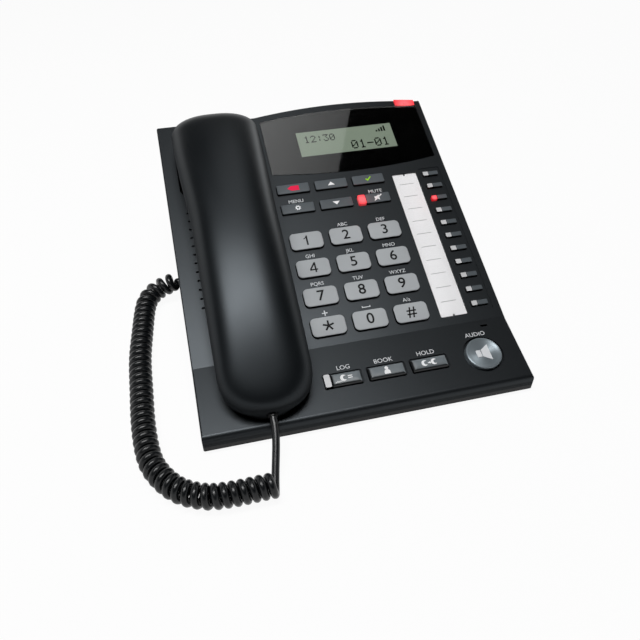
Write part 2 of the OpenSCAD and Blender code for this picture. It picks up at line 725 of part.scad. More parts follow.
module handset_front() color([0.05, 0.05, 0.055])
    on_deck() translate([handset_x, 0, 0]) difference() {
        union() {
            half(0, -1, 0);
            translate([0, ear_s, ear_cap_h]) cylinder(r = ear_r, h = seam_h - 3 - ear_cap_h);
            translate([0, mouth_s, mouth_cap_h]) cylinder(r = mouth_r, h = seam_h - 2 - mouth_cap_h);
        }
        half(shell_t, -1, 1);
        translate([0, ear_s, ear_cap_h + cap_t]) cylinder(r = ear_r - 2, h = 30);
        translate([0, mouth_s, mouth_cap_h + cap_t]) cylinder(r = mouth_r - 2, h = 30);
        for (a = [0:60:300])
            translate([9 * cos(a), ear_s + 9 * sin(a), ear_cap_h - 1]) cylinder(r = 1.2, h = 5);
        translate([0, ear_s, ear_cap_h - 1]) cylinder(r = 1.2, h = 5);
        for (x = [-4, 0, 4]) translate([x, mouth_s, mouth_cap_h - 1]) cylinder(r = 0.9, h = 5);
        translate([0, mouth_end + 8, plug_h]) rotate([90, 0, 0]) cylinder(r = boot_r + fit, h = 20);
    }

module receiver_capsule() color([0.4, 0.4, 0.42])
    on_deck() translate([handset_x, ear_s, ear_cap_h + cap_t + 0.1]) {
        cylinder(r = ear_r - 3, h = 5);
        cylinder(r = 10, h = 9);
    }

module handset_microphone() color([0.5, 0.5, 0.52])
    on_deck() translate([handset_x, mouth_s + 8, mouth_cap_h + cap_t + 0.1]) cylinder(r = 4.9, h = 5);

plug_s0 = mouth_end - boot_out;
module handset_plug() color([0.75, 0.75, 0.75])
    on_deck() translate([handset_x, 0, plug_h]) {
        translate([0, mouth_end + 5, 0]) rotate([90, 0, 0]) cylinder(r = boot_r, h = mouth_end + 5 - plug_s0);
        translate([-plug_w / 2, mouth_end + 4, -plug_t / 2 + 0.2]) cube([plug_w, 9, plug_t - 0.4]);
    }

// Curly cord: the middle line of the coil, from the base plug round to the front of the handset
coil_r = (coil_d - cord_d) / 2;
lay_z = coil_d / 2 + 0.1;
route = concat([[plug_face, jack_y, jack_z]], [for (p = [
    [-4, 0, 5.2], [-10, 0.6, 3.4], [-17, -1.6, 1.4], [-22, -7.5, 0.3], [-24.6, -17, 0], [-27, -38, 0],
    [-29, -60, 0], [-29.2, -85, 0], [-29, -110, 0], [-27, -130, 0], [-22.6, -142, 0], [-14, -153, 0],
    [-2, -159.6, 0], [10, -161.4, 0]]) [left_x + p[0], jack_y + p[1], lay_z + p[2]]],
    [[handset_x - 12, jack_y - 161.4, lay_z], [handset_x - 5.5, jack_y - 161.4, lay_z]]);
// Even curve through the route
function spline(p, i, t) = let(n = len(p), a = p[max(i - 1, 0)], b = p[i], c = p[min(i + 1, n - 1)],
        d = p[min(i + 2, n - 1)])
    0.5 * (2 * b + (c - a) * t + (2 * a - 5 * b + 4 * c - d) * t * t + (3 * b - a - 3 * c + d) * t * t * t);
fine_n = 24;
fine = concat([for (i = [0:len(route) - 2], k = [0:fine_n - 1]) spline(route, i, k / fine_n)],
    [route[len(route) - 1]]);
fine_s = [for (i = 0, a = 0; i < len(fine); a = a + (i < len(fine) - 1 ? norm(fine[i + 1] - fine[i]) : 0),
    i = i + 1) a];
coil_len = fine_s[len(fine) - 1];
// The curls open in the first bend, so that they clear each other on its inner side
bend_more = 1;
function pitch_at(s) = loose_pitch + bend_more * (1 - ramp(28, 42, s))
    + (tight_pitch - loose_pitch) * ramp(coil_len - 36, coil_len - 22, s);
turns = [for (i = 0, a = 0; i < len(fine); a = a + (i < len(fine) - 1 ? (fine_s[i + 1] - fine_s[i])
    / pitch_at(fine_s[i]) : 0), i = i + 1) a];
turn_n = turns[len(fine) - 1];
lead_len = 0.5;
leave_a = -70;
ring_step = 8;
function axis_at(q) = let(i = min(floor(lookup(q, [for (k = [0:len(fine) - 1]) [turns[k], k]])), len(fine) - 2),
        t = (q - turns[i]) / (turns[i + 1] - turns[i]))
    [fine[i] + (fine[i + 1] - fine[i]) * t, fine[i + 1] - fine[i], fine_s[i] + (fine_s[i + 1] - fine_s[i]) * t];
function unit(v) = v / norm(v);
function curl(q) = let(c = axis_at(q), tan = unit(c[1]), side = unit(cross([0, 0, 1], tan)),
    up = cross(tan, side),
        a = leave_a + 360 * (q - turn_n), r = coil_r * ramp(lead_len, lead_len + 5, c[2]))
    [c[0] + r * (cos(a) * side + sin(a) * up), cos(a) * side + sin(a) * up];
curl_n = floor(turn_n * ring_step);
coil_pts = [for (k = [0:curl_n]) curl(turn_n * k / curl_n)];
// Straight lead from the last curl to the plug in the handset
function deck_point(x, s, h) = [x, crease_y + s * cos(deck_tilt) - h * sin(deck_tilt),
    crease_h + s * sin(deck_tilt) + h * cos(deck_tilt)];
lead_end = deck_point(handset_x, plug_s0, plug_h);
lead_dir = [0, cos(deck_tilt), sin(deck_tilt)];
lead_0 = coil_pts[curl_n][0];
lead_n = coil_pts[curl_n][1];
lead_span = norm(lead_end - lead_0);
function bezier(a, b, c, d, t) = a * pow(1 - t, 3) + b * 3 * t * pow(1 - t, 2)
    + c * 3 * t * t * (1 - t) + d * t * t * t;
lead_pts = concat([for (k = [1:6]) [bezier(lead_0, lead_0 + lead_span * 0.3 * unit([0.16, 0.94, 0.34]),
    lead_end - lead_dir * lead_span * 0.35, lead_end - lead_dir * cord_d, k / 6), lead_n]],
    [[lead_end, lead_n]]);
cord_pts = concat(coil_pts, lead_pts);
cord_n = len(cord_pts);
function cord_tan(i) = i == 0 ? [-1, 0, 0] : i == cord_n - 1 ? lead_dir
    : unit(cord_pts[i + 1][0] - cord_pts[i - 1][0]);
function cord_ring(i) = let(t = cord_tan(i), n = unit(cord_pts[i][1] - t * (t * cord_pts[i][1])),
    b = cross(t, n))
    [for (k = [0:5]) cord_pts[i][0] + cord_d / 2 * (cos(60 * k) * n + sin(60 * k) * b)];
self_gap = min([for (i = [0:cord_n - 8]) min([for (j = [i + 6:min(i + 60, cord_n - 1)])
    norm(cord_pts[i][0] - cord_pts[j][0])])]) - cord_d;
echo(self_gap = self_gap, curls = turn_n, coil_len = coil_len);
echo(cord_low = min([for (i = [0:cord_n - 1]) cord_pts[i][0][2]]) - cord_d / 2);
echo(body_w = body_w, body_d = body_d, deck_len = deck_len, crease_y = crease_y, front_y = front_y);
echo(handset_x = handset_x, mouth_end = mouth_end, ear_end = ear_end, lead_end = lead_end, jack_y = jack_y);

module curly_cord() color([0.12, 0.13, 0.14]) skin([for (i = [0:cord_n - 1]) cord_ring(i)], true);

module dial(c, r) color([0.65, 0.67, 0.68]) on_deck() key(col_x[c], row_s[r], dial_w, dial_h, dial_r, dial_top);
module nav(c, r) color([0.36, 0.38, 0.4]) on_deck() key(col_x[c], nav_s[r], nav_w, nav_h, 0.8, nav_top);
module line_key(i) color([0.36, 0.38, 0.4]) on_deck() key(line_x, line_s[i], line_w, line_h, 0.4, low_top);
module key_post(x)
    translate([x, -lower_drop, flange_z - post_h]) cylinder(r = post_r, h = post_h + flange_t / 2);
module lower(c) color([0.3, 0.33, 0.36]) on_front() {
    key(col_x[c], -lower_drop, nav_w, lower_h, 0.8, low_top);
    key_post(col_x[c]);
}

module key_1() dial(0, 0);
module key_2() dial(1, 0);
module key_3() dial(2, 0);
module key_4() dial(0, 1);
module key_5() dial(1, 1);
module key_6() dial(2, 1);
module key_7() dial(0, 2);
module key_8() dial(1, 2);
module key_9() dial(2, 2);
module key_star() dial(0, 3);
module key_0() dial(1, 3);
module key_hash() dial(2, 3);
module clear_key() nav(0, 0);
module up_key() nav(1, 0);
module confirm_key() nav(2, 0);
module settings_key() nav(0, 1);
module down_key() nav(1, 1);
module mute_key() color([0.36, 0.38, 0.4])
    on_deck() key(col_x[2] + (mute_lamp_w + lens_gap) / 2, nav_s[1], nav_w - mute_lamp_w - lens_gap, nav_h,
        0.8, nav_top);
module log_key() color([0.3, 0.33, 0.36]) on_front() {
    key(col_x[0] + (lamp_w + lens_gap) / 2, -lower_drop, nav_w - lamp_w - lens_gap, lower_h, 0.8, low_top);
    key_post(col_x[0] + 2);
}
module book_key() lower(1);
module transfer_key() lower(2);
module speaker_key() color([0.3, 0.33, 0.36]) on_front() {
    translate([speaker_x, -lower_drop, flange_z]) cylinder(r = speaker_r, h = low_top - flange_z);
    translate([speaker_x, -lower_drop, flange_z]) cylinder(r = speaker_r + flange_out, h = flange_t);
    key_post(speaker_x);
}
module line_key_1() line_key(0);
module line_key_2() line_key(1);
module line_key_3() line_key(2);
module line_key_4() line_key(3);
module line_key_5() line_key(4);
module line_key_6() line_key(5);
module line_key_7() line_key(6);
module line_key_8() line_key(7);
module line_key_9() line_key(8);
module line_key_10() line_key(9);
module line_key_11() line_key(10);

upper_case();
lower_case();
display_window();
lcd_panel();
message_lamp();
label_card();
label_cover();
lamp_lenses();
key_mat();
key_board();
main_board();
loudspeaker();
battery_pack();
battery_door();
rubber_feet();
case_screws();
dc_jack();
cord_jack();
antenna();
hook_plunger();
handset_back();
handset_front();
receiver_capsule();
handset_microphone();
base_plug();
curly_cord();
handset_plug();
key_1();
key_2();
key_3();
key_4();
key_5();
key_6();
key_7();
key_8();
key_9();
key_star();
key_0();
key_hash();
clear_key();
up_key();
confirm_key();
settings_key();
down_key();
mute_key();
log_key();
book_key();
transfer_key();
speaker_key();
line_key_1();
line_key_2();
line_key_3();
line_key_4();
line_key_5();
line_key_6();
line_key_7();
line_key_8();
line_key_9();
line_key_10();
line_key_11();
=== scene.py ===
import math

import bmesh
import bpy
import numpy as np
from mathutils import Matrix, Vector


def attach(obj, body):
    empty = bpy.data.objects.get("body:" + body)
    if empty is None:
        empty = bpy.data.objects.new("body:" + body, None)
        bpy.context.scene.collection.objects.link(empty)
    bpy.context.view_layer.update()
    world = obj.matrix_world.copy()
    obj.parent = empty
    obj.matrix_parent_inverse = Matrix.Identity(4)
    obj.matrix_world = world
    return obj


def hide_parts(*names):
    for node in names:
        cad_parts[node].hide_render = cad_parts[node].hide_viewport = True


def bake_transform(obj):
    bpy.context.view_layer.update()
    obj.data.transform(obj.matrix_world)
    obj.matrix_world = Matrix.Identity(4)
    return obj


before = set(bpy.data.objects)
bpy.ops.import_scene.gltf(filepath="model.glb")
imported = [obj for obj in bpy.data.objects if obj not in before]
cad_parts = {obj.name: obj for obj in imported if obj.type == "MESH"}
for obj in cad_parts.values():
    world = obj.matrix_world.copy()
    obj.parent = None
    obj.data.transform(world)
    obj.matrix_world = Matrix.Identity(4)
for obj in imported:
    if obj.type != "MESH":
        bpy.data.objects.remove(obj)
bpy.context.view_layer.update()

scene = bpy.context.scene
scene.view_settings.view_transform = "Standard"

# Sizes in millimetres, named as in the part's source
MM = 0.001
CREASE_Y = -64.5311
CREASE_H = 19.3
DECK_TILT = math.radians(20)
FRONT_TILT = math.radians(11.5)
LEFT_X = -93.1
HANDSET_X = -55.2
INK_DEPTH = 0.05
INK_LIFT = 0.3 * INK_DEPTH


def slope(tilt):
    """Frame of a sloping panel: x across, y up the slope from the crease, z out of it."""
    return Matrix.Translation((0, CREASE_Y * MM, CREASE_H * MM)) @ Matrix.Rotation(tilt, 4, "X")


DECK = slope(DECK_TILT)
FRONT = slope(FRONT_TILT)
DECK_UP = DECK.to_3x3() @ Vector((0, 0, 1))


def extent(node, panel):
    """Lowest and highest corner of a CAD node in a panel's own frame, in millimetres."""
    inverse = panel.inverted()
    points = np.array([inverse @ v.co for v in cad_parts[node].data.vertices]) / MM
    return points.min(0), points.max(0)


def on_panel(panel, x, y, h):
    """Matrix of a drawing that lies on a panel with its middle at x, y, at height h."""
    return panel @ Matrix.Translation((x * MM, y * MM, h * MM))


def ramp(a, b, v):
    t = np.clip((v - a) / (b - a), 0, 1)
    return t * t * (3 - 2 * t)


# Camera

CAMERA_AT = (-79.92, -310.63, 277.10)
CAMERA_LOOK = (0.17131, 0.71053, -0.68250)
CAMERA_LENS = 35.726


def make_camera():
    data = bpy.data.cameras.new("camera")
    data.lens = CAMERA_LENS
    data.sensor_width = 36
    data.clip_start = 0.01
    camera = bpy.data.objects.new("camera", data)
    camera.location = Vector(CAMERA_AT) * MM
    camera.rotation_euler = Vector(CAMERA_LOOK).to_track_quat("-Z", "Y").to_euler()
    scene.collection.objects.link(camera)
    scene.camera = camera


# Mesh helpers

def object_of(mesh, name):
    piece = bpy.data.objects.new(name, mesh)
    scene.collection.objects.link(piece)
    return piece


def edited(mesh, change):
    """The same mesh after a change of its faces, edges or points."""
    work = bmesh.new()
    work.from_mesh(mesh)
    change(work)
    work.to_mesh(mesh)
    work.free()
    return mesh


def shade_smooth(piece, angle=math.radians(35)):
    """Makes faces smooth and keeps the edges crisp that are sharper than the angle."""
    def soften(work):
        for face in work.faces:
            face.smooth = True
        for edge in work.edges:
            edge.smooth = len(edge.link_faces) == 2 and edge.calc_face_angle(0) < angle

    edited(piece.data, soften)
    return piece


def skin(name, rings, closed_ends=True):
    """Skin over rings that each have the same number of points, in metres."""
    rings = np.asarray(rings, float)
    count, around = rings.shape[:2]
    points = rings.reshape(-1, 3)
    faces = []
    for i in range(count - 1):
        for k in range(around):
            n = (k + 1) % around
            faces.append((i * around + k, i * around + n, (i + 1) * around + n, (i + 1) * around + k))
    if closed_ends:
        faces.append(tuple(range(around - 1, -1, -1)))
        faces.append(tuple((count - 1) * around + k for k in range(around)))
    mesh = bpy.data.meshes.new(name)
    mesh.from_pydata([tuple(p) for p in points], [], faces)
    edited(mesh, lambda work: bmesh.ops.recalc_face_normals(work, faces=work.faces))
    return object_of(mesh, name)


def round_turn(count):
    """Even angles of a full turn."""
    return 2 * math.pi * np.arange(count) / count


def lathe(name, profile, place, around=96):
    """Turned piece: profile is a list of radius and height in millimetres, along a panel's normal."""
    rings = [[place @ (Vector((radius * math.cos(a), radius * math.sin(a), height)) * MM)
              for a in round_turn(around)] for radius, height in profile]
    return shade_smooth(skin(name, rings))


def flat_mesh(loops, thickness, bevel=0.0):
    """Flat plate from closed outlines in millimetres; an outline inside another is a hole."""
    curve = bpy.data.curves.new("outline", "CURVE")
    curve.dimensions = "2D"
    curve.fill_mode = "BOTH"
    curve.extrude = thickness * MM / 2 - bevel * MM
    curve.bevel_depth = bevel * MM
    curve.bevel_resolution = 2
    curve.offset = -bevel * MM
    for loop in loops:
        spline = curve.splines.new("POLY")
        spline.points.add(len(loop) - 1)
        for point, (x, y) in zip(spline.points, loop):
            point.co = (x * MM, y * MM, 0, 1)
        spline.use_cyclic_u = True
    return mesh_of_curve(curve)


CAPITAL_SHARE = 0.72
WELD = 1e-7


def word_mesh(text, height, bold=0.0):
    """Raised lettering of a cap height in millimetres, its middle at the origin."""
    curve = bpy.data.curves.new("word", "FONT")
    curve.body = text
    curve.size = height * MM / CAPITAL_SHARE
    curve.align_x = "CENTER"
    curve.align_y = "CENTER"
    curve.extrude = INK_DEPTH * MM / 2
    curve.offset = bold * MM
    curve.resolution_u = 5
    return mesh_of_curve(curve)


def mesh_of_curve(curve):
    made = object_of(curve, "made")
    bpy.context.view_layer.update()
    mesh = bpy.data.meshes.new_from_object(made.evaluated_get(bpy.context.evaluated_depsgraph_get()))
    bpy.data.objects.remove(made)
    bpy.data.curves.remove(curve)
    return edited(mesh, lambda work: bmesh.ops.remove_doubles(work, verts=work.verts, dist=WELD))


def joined(name, parts):
    """One piece from several meshes, each with its matrix."""
    work = bmesh.new()
    for mesh, place in parts:
        mesh.transform(place)
        work.from_mesh(mesh)
        bpy.data.meshes.remove(mesh)
    mesh = bpy.data.meshes.new(name)
    work.to_mesh(mesh)
    work.free()
    return object_of(mesh, name)


def arc(x, y, radius, start, end, steps=12):
    """Points of an arc, angles in degrees."""
    angles = [math.radians(start + (end - start) * k / steps) for k in range(steps + 1)]
    return [(x + radius * math.cos(a), y + radius * math.sin(a)) for a in angles]


def circle(x, y, radius, steps=32):
    return arc(x, y, radius, 0, 360 - 360 / steps, steps - 1)


def burst(radius, arms, width, core):
    """Sign with straight arms from a common middle, such as a star or a plus."""
    points = []
    for k in range(arms):
        a = math.radians(90 + 360 * k / arms)
        c, s = math.cos(a), math.sin(a)
        for u, v in ((radius, -width / 2), (radius, width / 2)):
            points.append((u * c - v * s, u * s + v * c))
        b = a + math.pi / arms
        points.append((core * math.cos(b), core * math.sin(b)))
    return points


def oblong(x, y, w, h):
    return [(x - w / 2, y - h / 2), (x + w / 2, y - h / 2), (x + w / 2, y + h / 2), (x - w / 2, y + h / 2)]


# Shared effects of the materials

def effect(name, inputs, outputs):
    """Empty shader node group with named number inputs and outputs."""
    group = bpy.data.node_groups.new(name, "ShaderNodeTree")
    for label, value in inputs:
        socket = group.interface.new_socket(label, in_out="INPUT", socket_type="NodeSocketFloat")
        socket.default_value = value
    for label in outputs:
        group.interface.new_socket(label, in_out="OUTPUT", socket_type="NodeSocketFloat")
    return group, group.nodes.new("NodeGroupInput"), group.nodes.new("NodeGroupOutput")


def feed(tree, value, socket):
    """Links a socket to another one, or sets it to a plain value."""
    if isinstance(value, bpy.types.NodeSocket):
        tree.links.new(value, socket)
    else:
        socket.default_value = value


def give(node, **values):
    """Feeds a node's inputs by their names, with underscores for spaces."""
    for label, value in values.items():
        feed(node.id_data, value, node.inputs[label.replace("_", " ")])
    return node


def math_node(tree, operation, first, second, kind="ShaderNodeMath"):
    node = tree.nodes.new(kind)
    node.operation = operation
    feed(tree, first, node.inputs[0])
    feed(tree, second, node.inputs[1])
    return node.outputs[0]


def vector_node(tree, operation, first, second):
    """Result of a vector operation: a number for a dot product or a distance, and else a vector."""
    result = math_node(tree, operation, first, second, "ShaderNodeVectorMath")
    return result.node.outputs["Value"] if operation in ("DOT_PRODUCT", "DISTANCE") else result


def on_surface(tree, what):
    """Place or normal of the surface, in the piece's own frame."""
    return tree.nodes.new("ShaderNodeTexCoord").outputs[what]


def normal_of(tree):
    return tree.nodes.new("ShaderNodeNewGeometry").outputs["Normal"]


def noise_node(tree, scale, detail):
    node = tree.nodes.new("ShaderNodeTexNoise")
    give(node, Vector=on_surface(tree, "Object"), Scale=scale, Detail=detail)
    return node.outputs["Fac"]


def span_node(tree, value, low, high, to_low=0.0, to_high=1.0):
    node = tree.nodes.new("ShaderNodeMapRange")
    give(node, Value=value, From_Min=low, From_Max=high, To_Min=to_low, To_Max=to_high)
    return node.outputs["Result"]


def make_moulded_grain():
    """Fine spark-eroded grain of a moulding, and slow patches of tone."""
    group, given, out = effect("moulded_grain", [("Grain Scale", 2600.0), ("Patch Scale", 28.0)],
                               ["Height", "Tone"])
    patches = noise_node(group, given.outputs["Patch Scale"], 3.0)
    give(out, Height=noise_node(group, given.outputs["Grain Scale"], 2.0),
         Tone=span_node(group, patches, 0.3, 0.7))
    return group


def make_edge_wear_and_sheen():
    """Mask of the edges, broken up by noise: partly rubbed wear and partly a painted edge highlight."""
    group, given, out = effect("edge_wear_and_sheen", [("Edge Width", 0.0004), ("Break Up", 220.0)], ["Mask"])
    bevel = group.nodes.new("ShaderNodeBevel")
    bevel.samples = 4
    give(bevel, Radius=given.outputs["Edge Width"])
    flat = vector_node(group, "DOT_PRODUCT", bevel.outputs["Normal"], normal_of(group))
    edge = span_node(group, flat, 0.98, 0.80)
    broken = span_node(group, noise_node(group, given.outputs["Break Up"], 4.0), 0.35, 0.65)
    give(out, Mask=math_node(group, "MULTIPLY", edge, broken))
    return group


def make_fine_dust():
    """Mask of the dust that settles on faces that look up."""
    group, given, out = effect("fine_dust", [("Speck Scale", 900.0)], ["Mask"])
    parts = give(group.nodes.new("ShaderNodeSeparateXYZ"), Vector=normal_of(group))
    up = span_node(group, parts.outputs["Z"], 0.3, 1.0)
    specks = span_node(group, noise_node(group, given.outputs["Speck Scale"], 6.0), 0.5, 0.8)
    give(out, Mask=math_node(group, "MULTIPLY", up, specks))
    return group


GRAIN = make_moulded_grain()
WEAR_AND_SHEEN = make_edge_wear_and_sheen()
DUST = make_fine_dust()


def use(tree, group, **values):
    node = tree.nodes.new("ShaderNodeGroup")
    node.node_tree = group
    return give(node, **values)


def mix_colour(tree, mask, first, second):
    """Colour that goes from the first to the second with a mask; either may be a socket."""
    node = tree.nodes.new("ShaderNodeMix")
    node.data_type = "RGBA"
    tree.links.new(mask, node.inputs[0])
    for socket, value in ((node.inputs[6], first), (node.inputs[7], second)):
        feed(tree, value if isinstance(value, bpy.types.NodeSocket) else (*value, 1), socket)
    return node.outputs[2]


def blank_material(name):
    material = bpy.data.materials.new(name)
    material.use_nodes = True
    tree = material.node_tree
    return material, tree, tree.nodes["Principled BSDF"]


def patchy_material(name, patch, first, second):
    """Blank material whose roughness goes from the first to the second with slow patches, and their mask."""
    material, tree, shader = blank_material(name)
    tone = use(tree, GRAIN, Patch_Scale=patch).outputs["Tone"]
    give(shader, Roughness=span_node(tree, tone, 0, 1, first, second))
    return material, tree, shader, tone


def facing(tree, direction):
    """Cosine of the angle between the surface and a direction of the object."""
    return vector_node(tree, "DOT_PRODUCT", on_surface(tree, "Normal"), direction)


def scaled(colour, factor):
    return tuple(min(c * factor, 1.0) for c in colour)


DUST_COLOUR = (0.32, 0.31, 0.29)
GRAIN_STRENGTH = 0.35
SIDE_FROM = 0.3
SIDE_TO = 0.8


def moulding(name, colour, roughness, specular=0.5, grain=2600.0, depth=0.00002, patch=28.0,
             tone=0.08, gloss=0.04, wear_and_sheen=0.1, worn_and_lit=1.6, dust=0.03, metallic=0.0,
             tint=(1.0, 1.0, 1.0), matt_sides=0.0):
    """Moulded plastic, rubber or metal: grain, slow tone, edges made lighter by wear and by a painted
    highlight, and a breath of dust. Its sides may be more matt than its top, as where a mould is polished
    only on its main face."""
    material, tree, shader = blank_material(name)
    surface = use(tree, GRAIN, Grain_Scale=grain, Patch_Scale=patch)
    worn_and_lit_edges = use(tree, WEAR_AND_SHEEN)
    settled = use(tree, DUST)
    base = mix_colour(tree, surface.outputs["Tone"], scaled(colour, 1 - tone), scaled(colour, 1 + tone))
    # Painted highlight and wear: the edge mask lifts the colour along edges, partly as rubbed wear and
    # partly as a painted edge highlight
    base = mix_colour(tree, math_node(tree, "MULTIPLY", worn_and_lit_edges.outputs["Mask"], wear_and_sheen), base,
                      scaled(colour, worn_and_lit))
    base = mix_colour(tree, math_node(tree, "MULTIPLY", settled.outputs["Mask"], dust), base, DUST_COLOUR)
    shine = span_node(tree, surface.outputs["Tone"], 0, 1, roughness + gloss, roughness - gloss)
    if matt_sides:
        side = span_node(tree, facing(tree, DECK_UP), SIDE_FROM, SIDE_TO, matt_sides, 0)
        shine = math_node(tree, "ADD", shine, side)
    bump = give(tree.nodes.new("ShaderNodeBump"), Strength=GRAIN_STRENGTH, Distance=depth,
                Height=surface.outputs["Height"])
    give(shader, Base_Color=base, Roughness=shine, Normal=bump.outputs["Normal"], Metallic=metallic,
         Specular_IOR_Level=specular, Specular_Tint=(*tint, 1))
    return material


def glowing(material, colour, strength):
    give(material.node_tree.nodes["Principled BSDF"], Emission_Color=(*colour, 1),
         Emission_Strength=strength)
    return material


def unworn(name, colour, roughness=0.6, specular=0.2, tone=0.08, **more):
    """Ink, paper or a face painted dark as shade, with none of the lighter edges of wear and painted
    highlight, and no dust.
    """
    return moulding(name, colour, roughness, specular=specular, tone=tone, wear_and_sheen=0.0, dust=0.0, **more)


CASE_GREY = (0.0032, 0.0038, 0.0044)
COOL_SHEEN = (0.84, 0.93, 1.0)
case_plastic = moulding("case_plastic", CASE_GREY, 0.385, specular=0.44, gloss=0.015, depth=0.00001,
                        dust=0.005, tint=COOL_SHEEN, matt_sides=0.5)
under_plastic = moulding("under_plastic", scaled(CASE_GREY, 1.5), 0.5, specular=0.25, dust=0.0)
# Painted shade: near-black matt colour of the sheet in the ear well, which stands for the shade there
well_shade_sheet = unworn("well_shade_sheet", (0.002, 0.0022, 0.0025), 0.8, specular=0.1)
handset_plastic = moulding("handset_plastic", (0.0022, 0.003, 0.0038), 0.355, specular=0.36, tone=0.1,
                           gloss=0.02, depth=0.00001, dust=0.005, wear_and_sheen=0.05, tint=COOL_SHEEN,
                           matt_sides=0.6)
dial_plastic = moulding("dial_key_plastic", (0.385, 0.405, 0.42), 0.5, specular=0.25, dust=0.01, worn_and_lit=1.2)
function_plastic = moulding("function_key_plastic", (0.075, 0.088, 0.098), 0.42, specular=0.3, dust=0.01)
# Painted shade: near-black for the sides of the key caps, where they stand in shade
key_side_shade = unworn("key_side_shade", (0.0022, 0.0024, 0.0027), specular=0.15)
mat_rubber = moulding("mat_rubber", (0.05, 0.05, 0.055), 0.7, specular=0.3)
board_green = moulding("board_green", (0.012, 0.1, 0.04), 0.45, patch=180.0, tone=0.3)
driver_paper = moulding("driver_paper", (0.02, 0.02, 0.021), 0.8, grain=900.0, depth=0.0001)
battery_wrap = moulding("battery_wrap", (0.08, 0.09, 0.2), 0.35)
foot_rubber = moulding("foot_rubber", (0.012, 0.012, 0.012), 0.75, specular=0.3, depth=0.00005)
screw_steel = moulding("screw_steel", (0.42, 0.42, 0.44), 0.35, metallic=1.0, dust=0.0)
socket_plastic = moulding("socket_plastic", (0.012, 0.012, 0.013), 0.45)
antenna_brass = moulding("antenna_brass", (0.62, 0.46, 0.16), 0.35, metallic=1.0, dust=0.0)
hook_plastic = moulding("hook_plastic", (0.03, 0.03, 0.032), 0.4)
capsule_alloy = moulding("capsule_alloy", (0.45, 0.45, 0.47), 0.4, metallic=1.0, dust=0.0)
plug_plastic = moulding("plug_plastic", (0.006, 0.007, 0.008), 0.35, specular=0.4)
cord_plastic = moulding("cord_plastic", (0.004, 0.005, 0.006), 0.3, specular=0.4, grain=1200.0, dust=0.0)
card_paper = unworn("card_paper", (0.93, 0.925, 0.935), 0.8, grain=5000.0, tone=0.015)
white_ink = unworn("white_ink", (0.85, 0.86, 0.87), tone=0.03)
legend_ink = unworn("legend_ink", (0.68, 0.70, 0.72), tone=0.05)
dark_ink = unworn("dark_ink", (0.006, 0.006, 0.006), specular=0.15)
line_ink = unworn("card_line_ink", (0.22, 0.22, 0.23), 0.7)
red_ink = unworn("red_ink", (0.80, 0.002, 0.06), 0.5)
green_ink = unworn("green_ink", (0.28, 0.62, 0.01), 0.5)
print_black = unworn("window_print", (0.0008, 0.0008, 0.001), 0.5, specular=0.05)
lcd_ink = unworn("lcd_ink", (0.008, 0.011, 0.008), 0.7, specular=0.1)
LCD_GREEN = (0.26, 0.31, 0.24)
# Partly backlight and partly painted light: the display's glow also stands in for the lamp light that the
# clear window keeps from it
LCD_BACKLIGHT_AND_PAINTED_LIGHT = 0.76
lcd_back = glowing(unworn("lcd_back", LCD_GREEN, specular=0.1, tone=0.06, patch=12.0), LCD_GREEN, LCD_BACKLIGHT_AND_PAINTED_LIGHT)


def make_clear_window():
    """Glossy clear plastic, a little uneven."""
    material, _, shader, _ = patchy_material("clear_window", 18.0, 0.015, 0.03)
    give(shader, Base_Color=(0.93, 0.95, 0.95, 1), Transmission_Weight=1.0, IOR=1.47)
    return material


def make_clear_cover():
    """Thin film over the card, seen by its sheen."""
    material, _, shader, _ = patchy_material("clear_cover", 30.0, 0.08, 0.16)
    give(shader, Base_Color=(0.93, 0.94, 0.95, 1), Alpha=0.08)
    return material


def distance_to(tree, place):
    """Distance of the surface from a place, in metres."""
    return vector_node(tree, "DISTANCE", on_surface(tree, "Object"), place)


LIT_CORE = (1.0, 0.22, 0.24)
LIT_RIM = (0.62, 0.004, 0.012)
LIT_STRENGTH = 0.68


def make_message_lamp(place):
    """Red lamp cover, palest over its lamp."""
    material, tree, shader, tone = patchy_material("message_lamp", 120.0, 0.25, 0.35)
    core = span_node(tree, distance_to(tree, place), 0.002, 0.0085, 1, 0)
    give(shader, Base_Color=mix_colour(tree, tone, (0.42, 0.02, 0.03), (0.5, 0.03, 0.04)),
         Emission_Color=mix_colour(tree, core, LIT_RIM, LIT_CORE), Emission_Strength=LIT_STRENGTH)
    return material


def make_lamp_lens(lit_lenses):
    """White lens plastic whose sides are painted dark as shade; each lit lens, given by its middle and
    reach, glows red.
    """
    material, tree, shader, tone = patchy_material("lamp_lens", 60.0, 0.3, 0.4)
    lit = None
    core = None
    for place, reach in lit_lenses:
        far = distance_to(tree, place)
        near = math_node(tree, "LESS_THAN", far, reach)
        pale = span_node(tree, far, 0.25 * reach, 0.75 * reach, 1, 0)
        lit = near if lit is None else math_node(tree, "MAXIMUM", lit, near)
        core = pale if core is None else math_node(tree, "MAXIMUM", core, pale)
    # Painted shade: faces that turn away from the deck's normal go near-black
    top = span_node(tree, facing(tree, DECK_UP), 0.7, 0.9)
    white = mix_colour(tree, tone, (0.55, 0.56, 0.57), (0.63, 0.63, 0.64))
    white = mix_colour(tree, top, (0.03, 0.03, 0.032), white)
    red = mix_colour(tree, core, LIT_RIM, LIT_CORE)
    give(shader, Base_Color=mix_colour(tree, lit, white, (0.4, 0.01, 0.02)),
         Emission_Color=mix_colour(tree, lit, (0, 0, 0), red), Emission_Strength=LIT_STRENGTH)
    return material


# Direction, on the front panel, of the side of the lower keys that stays light; faces turned from it get
# painted shade
LIGHT_SIDE = Vector((0.3, 0.55, 0.78))


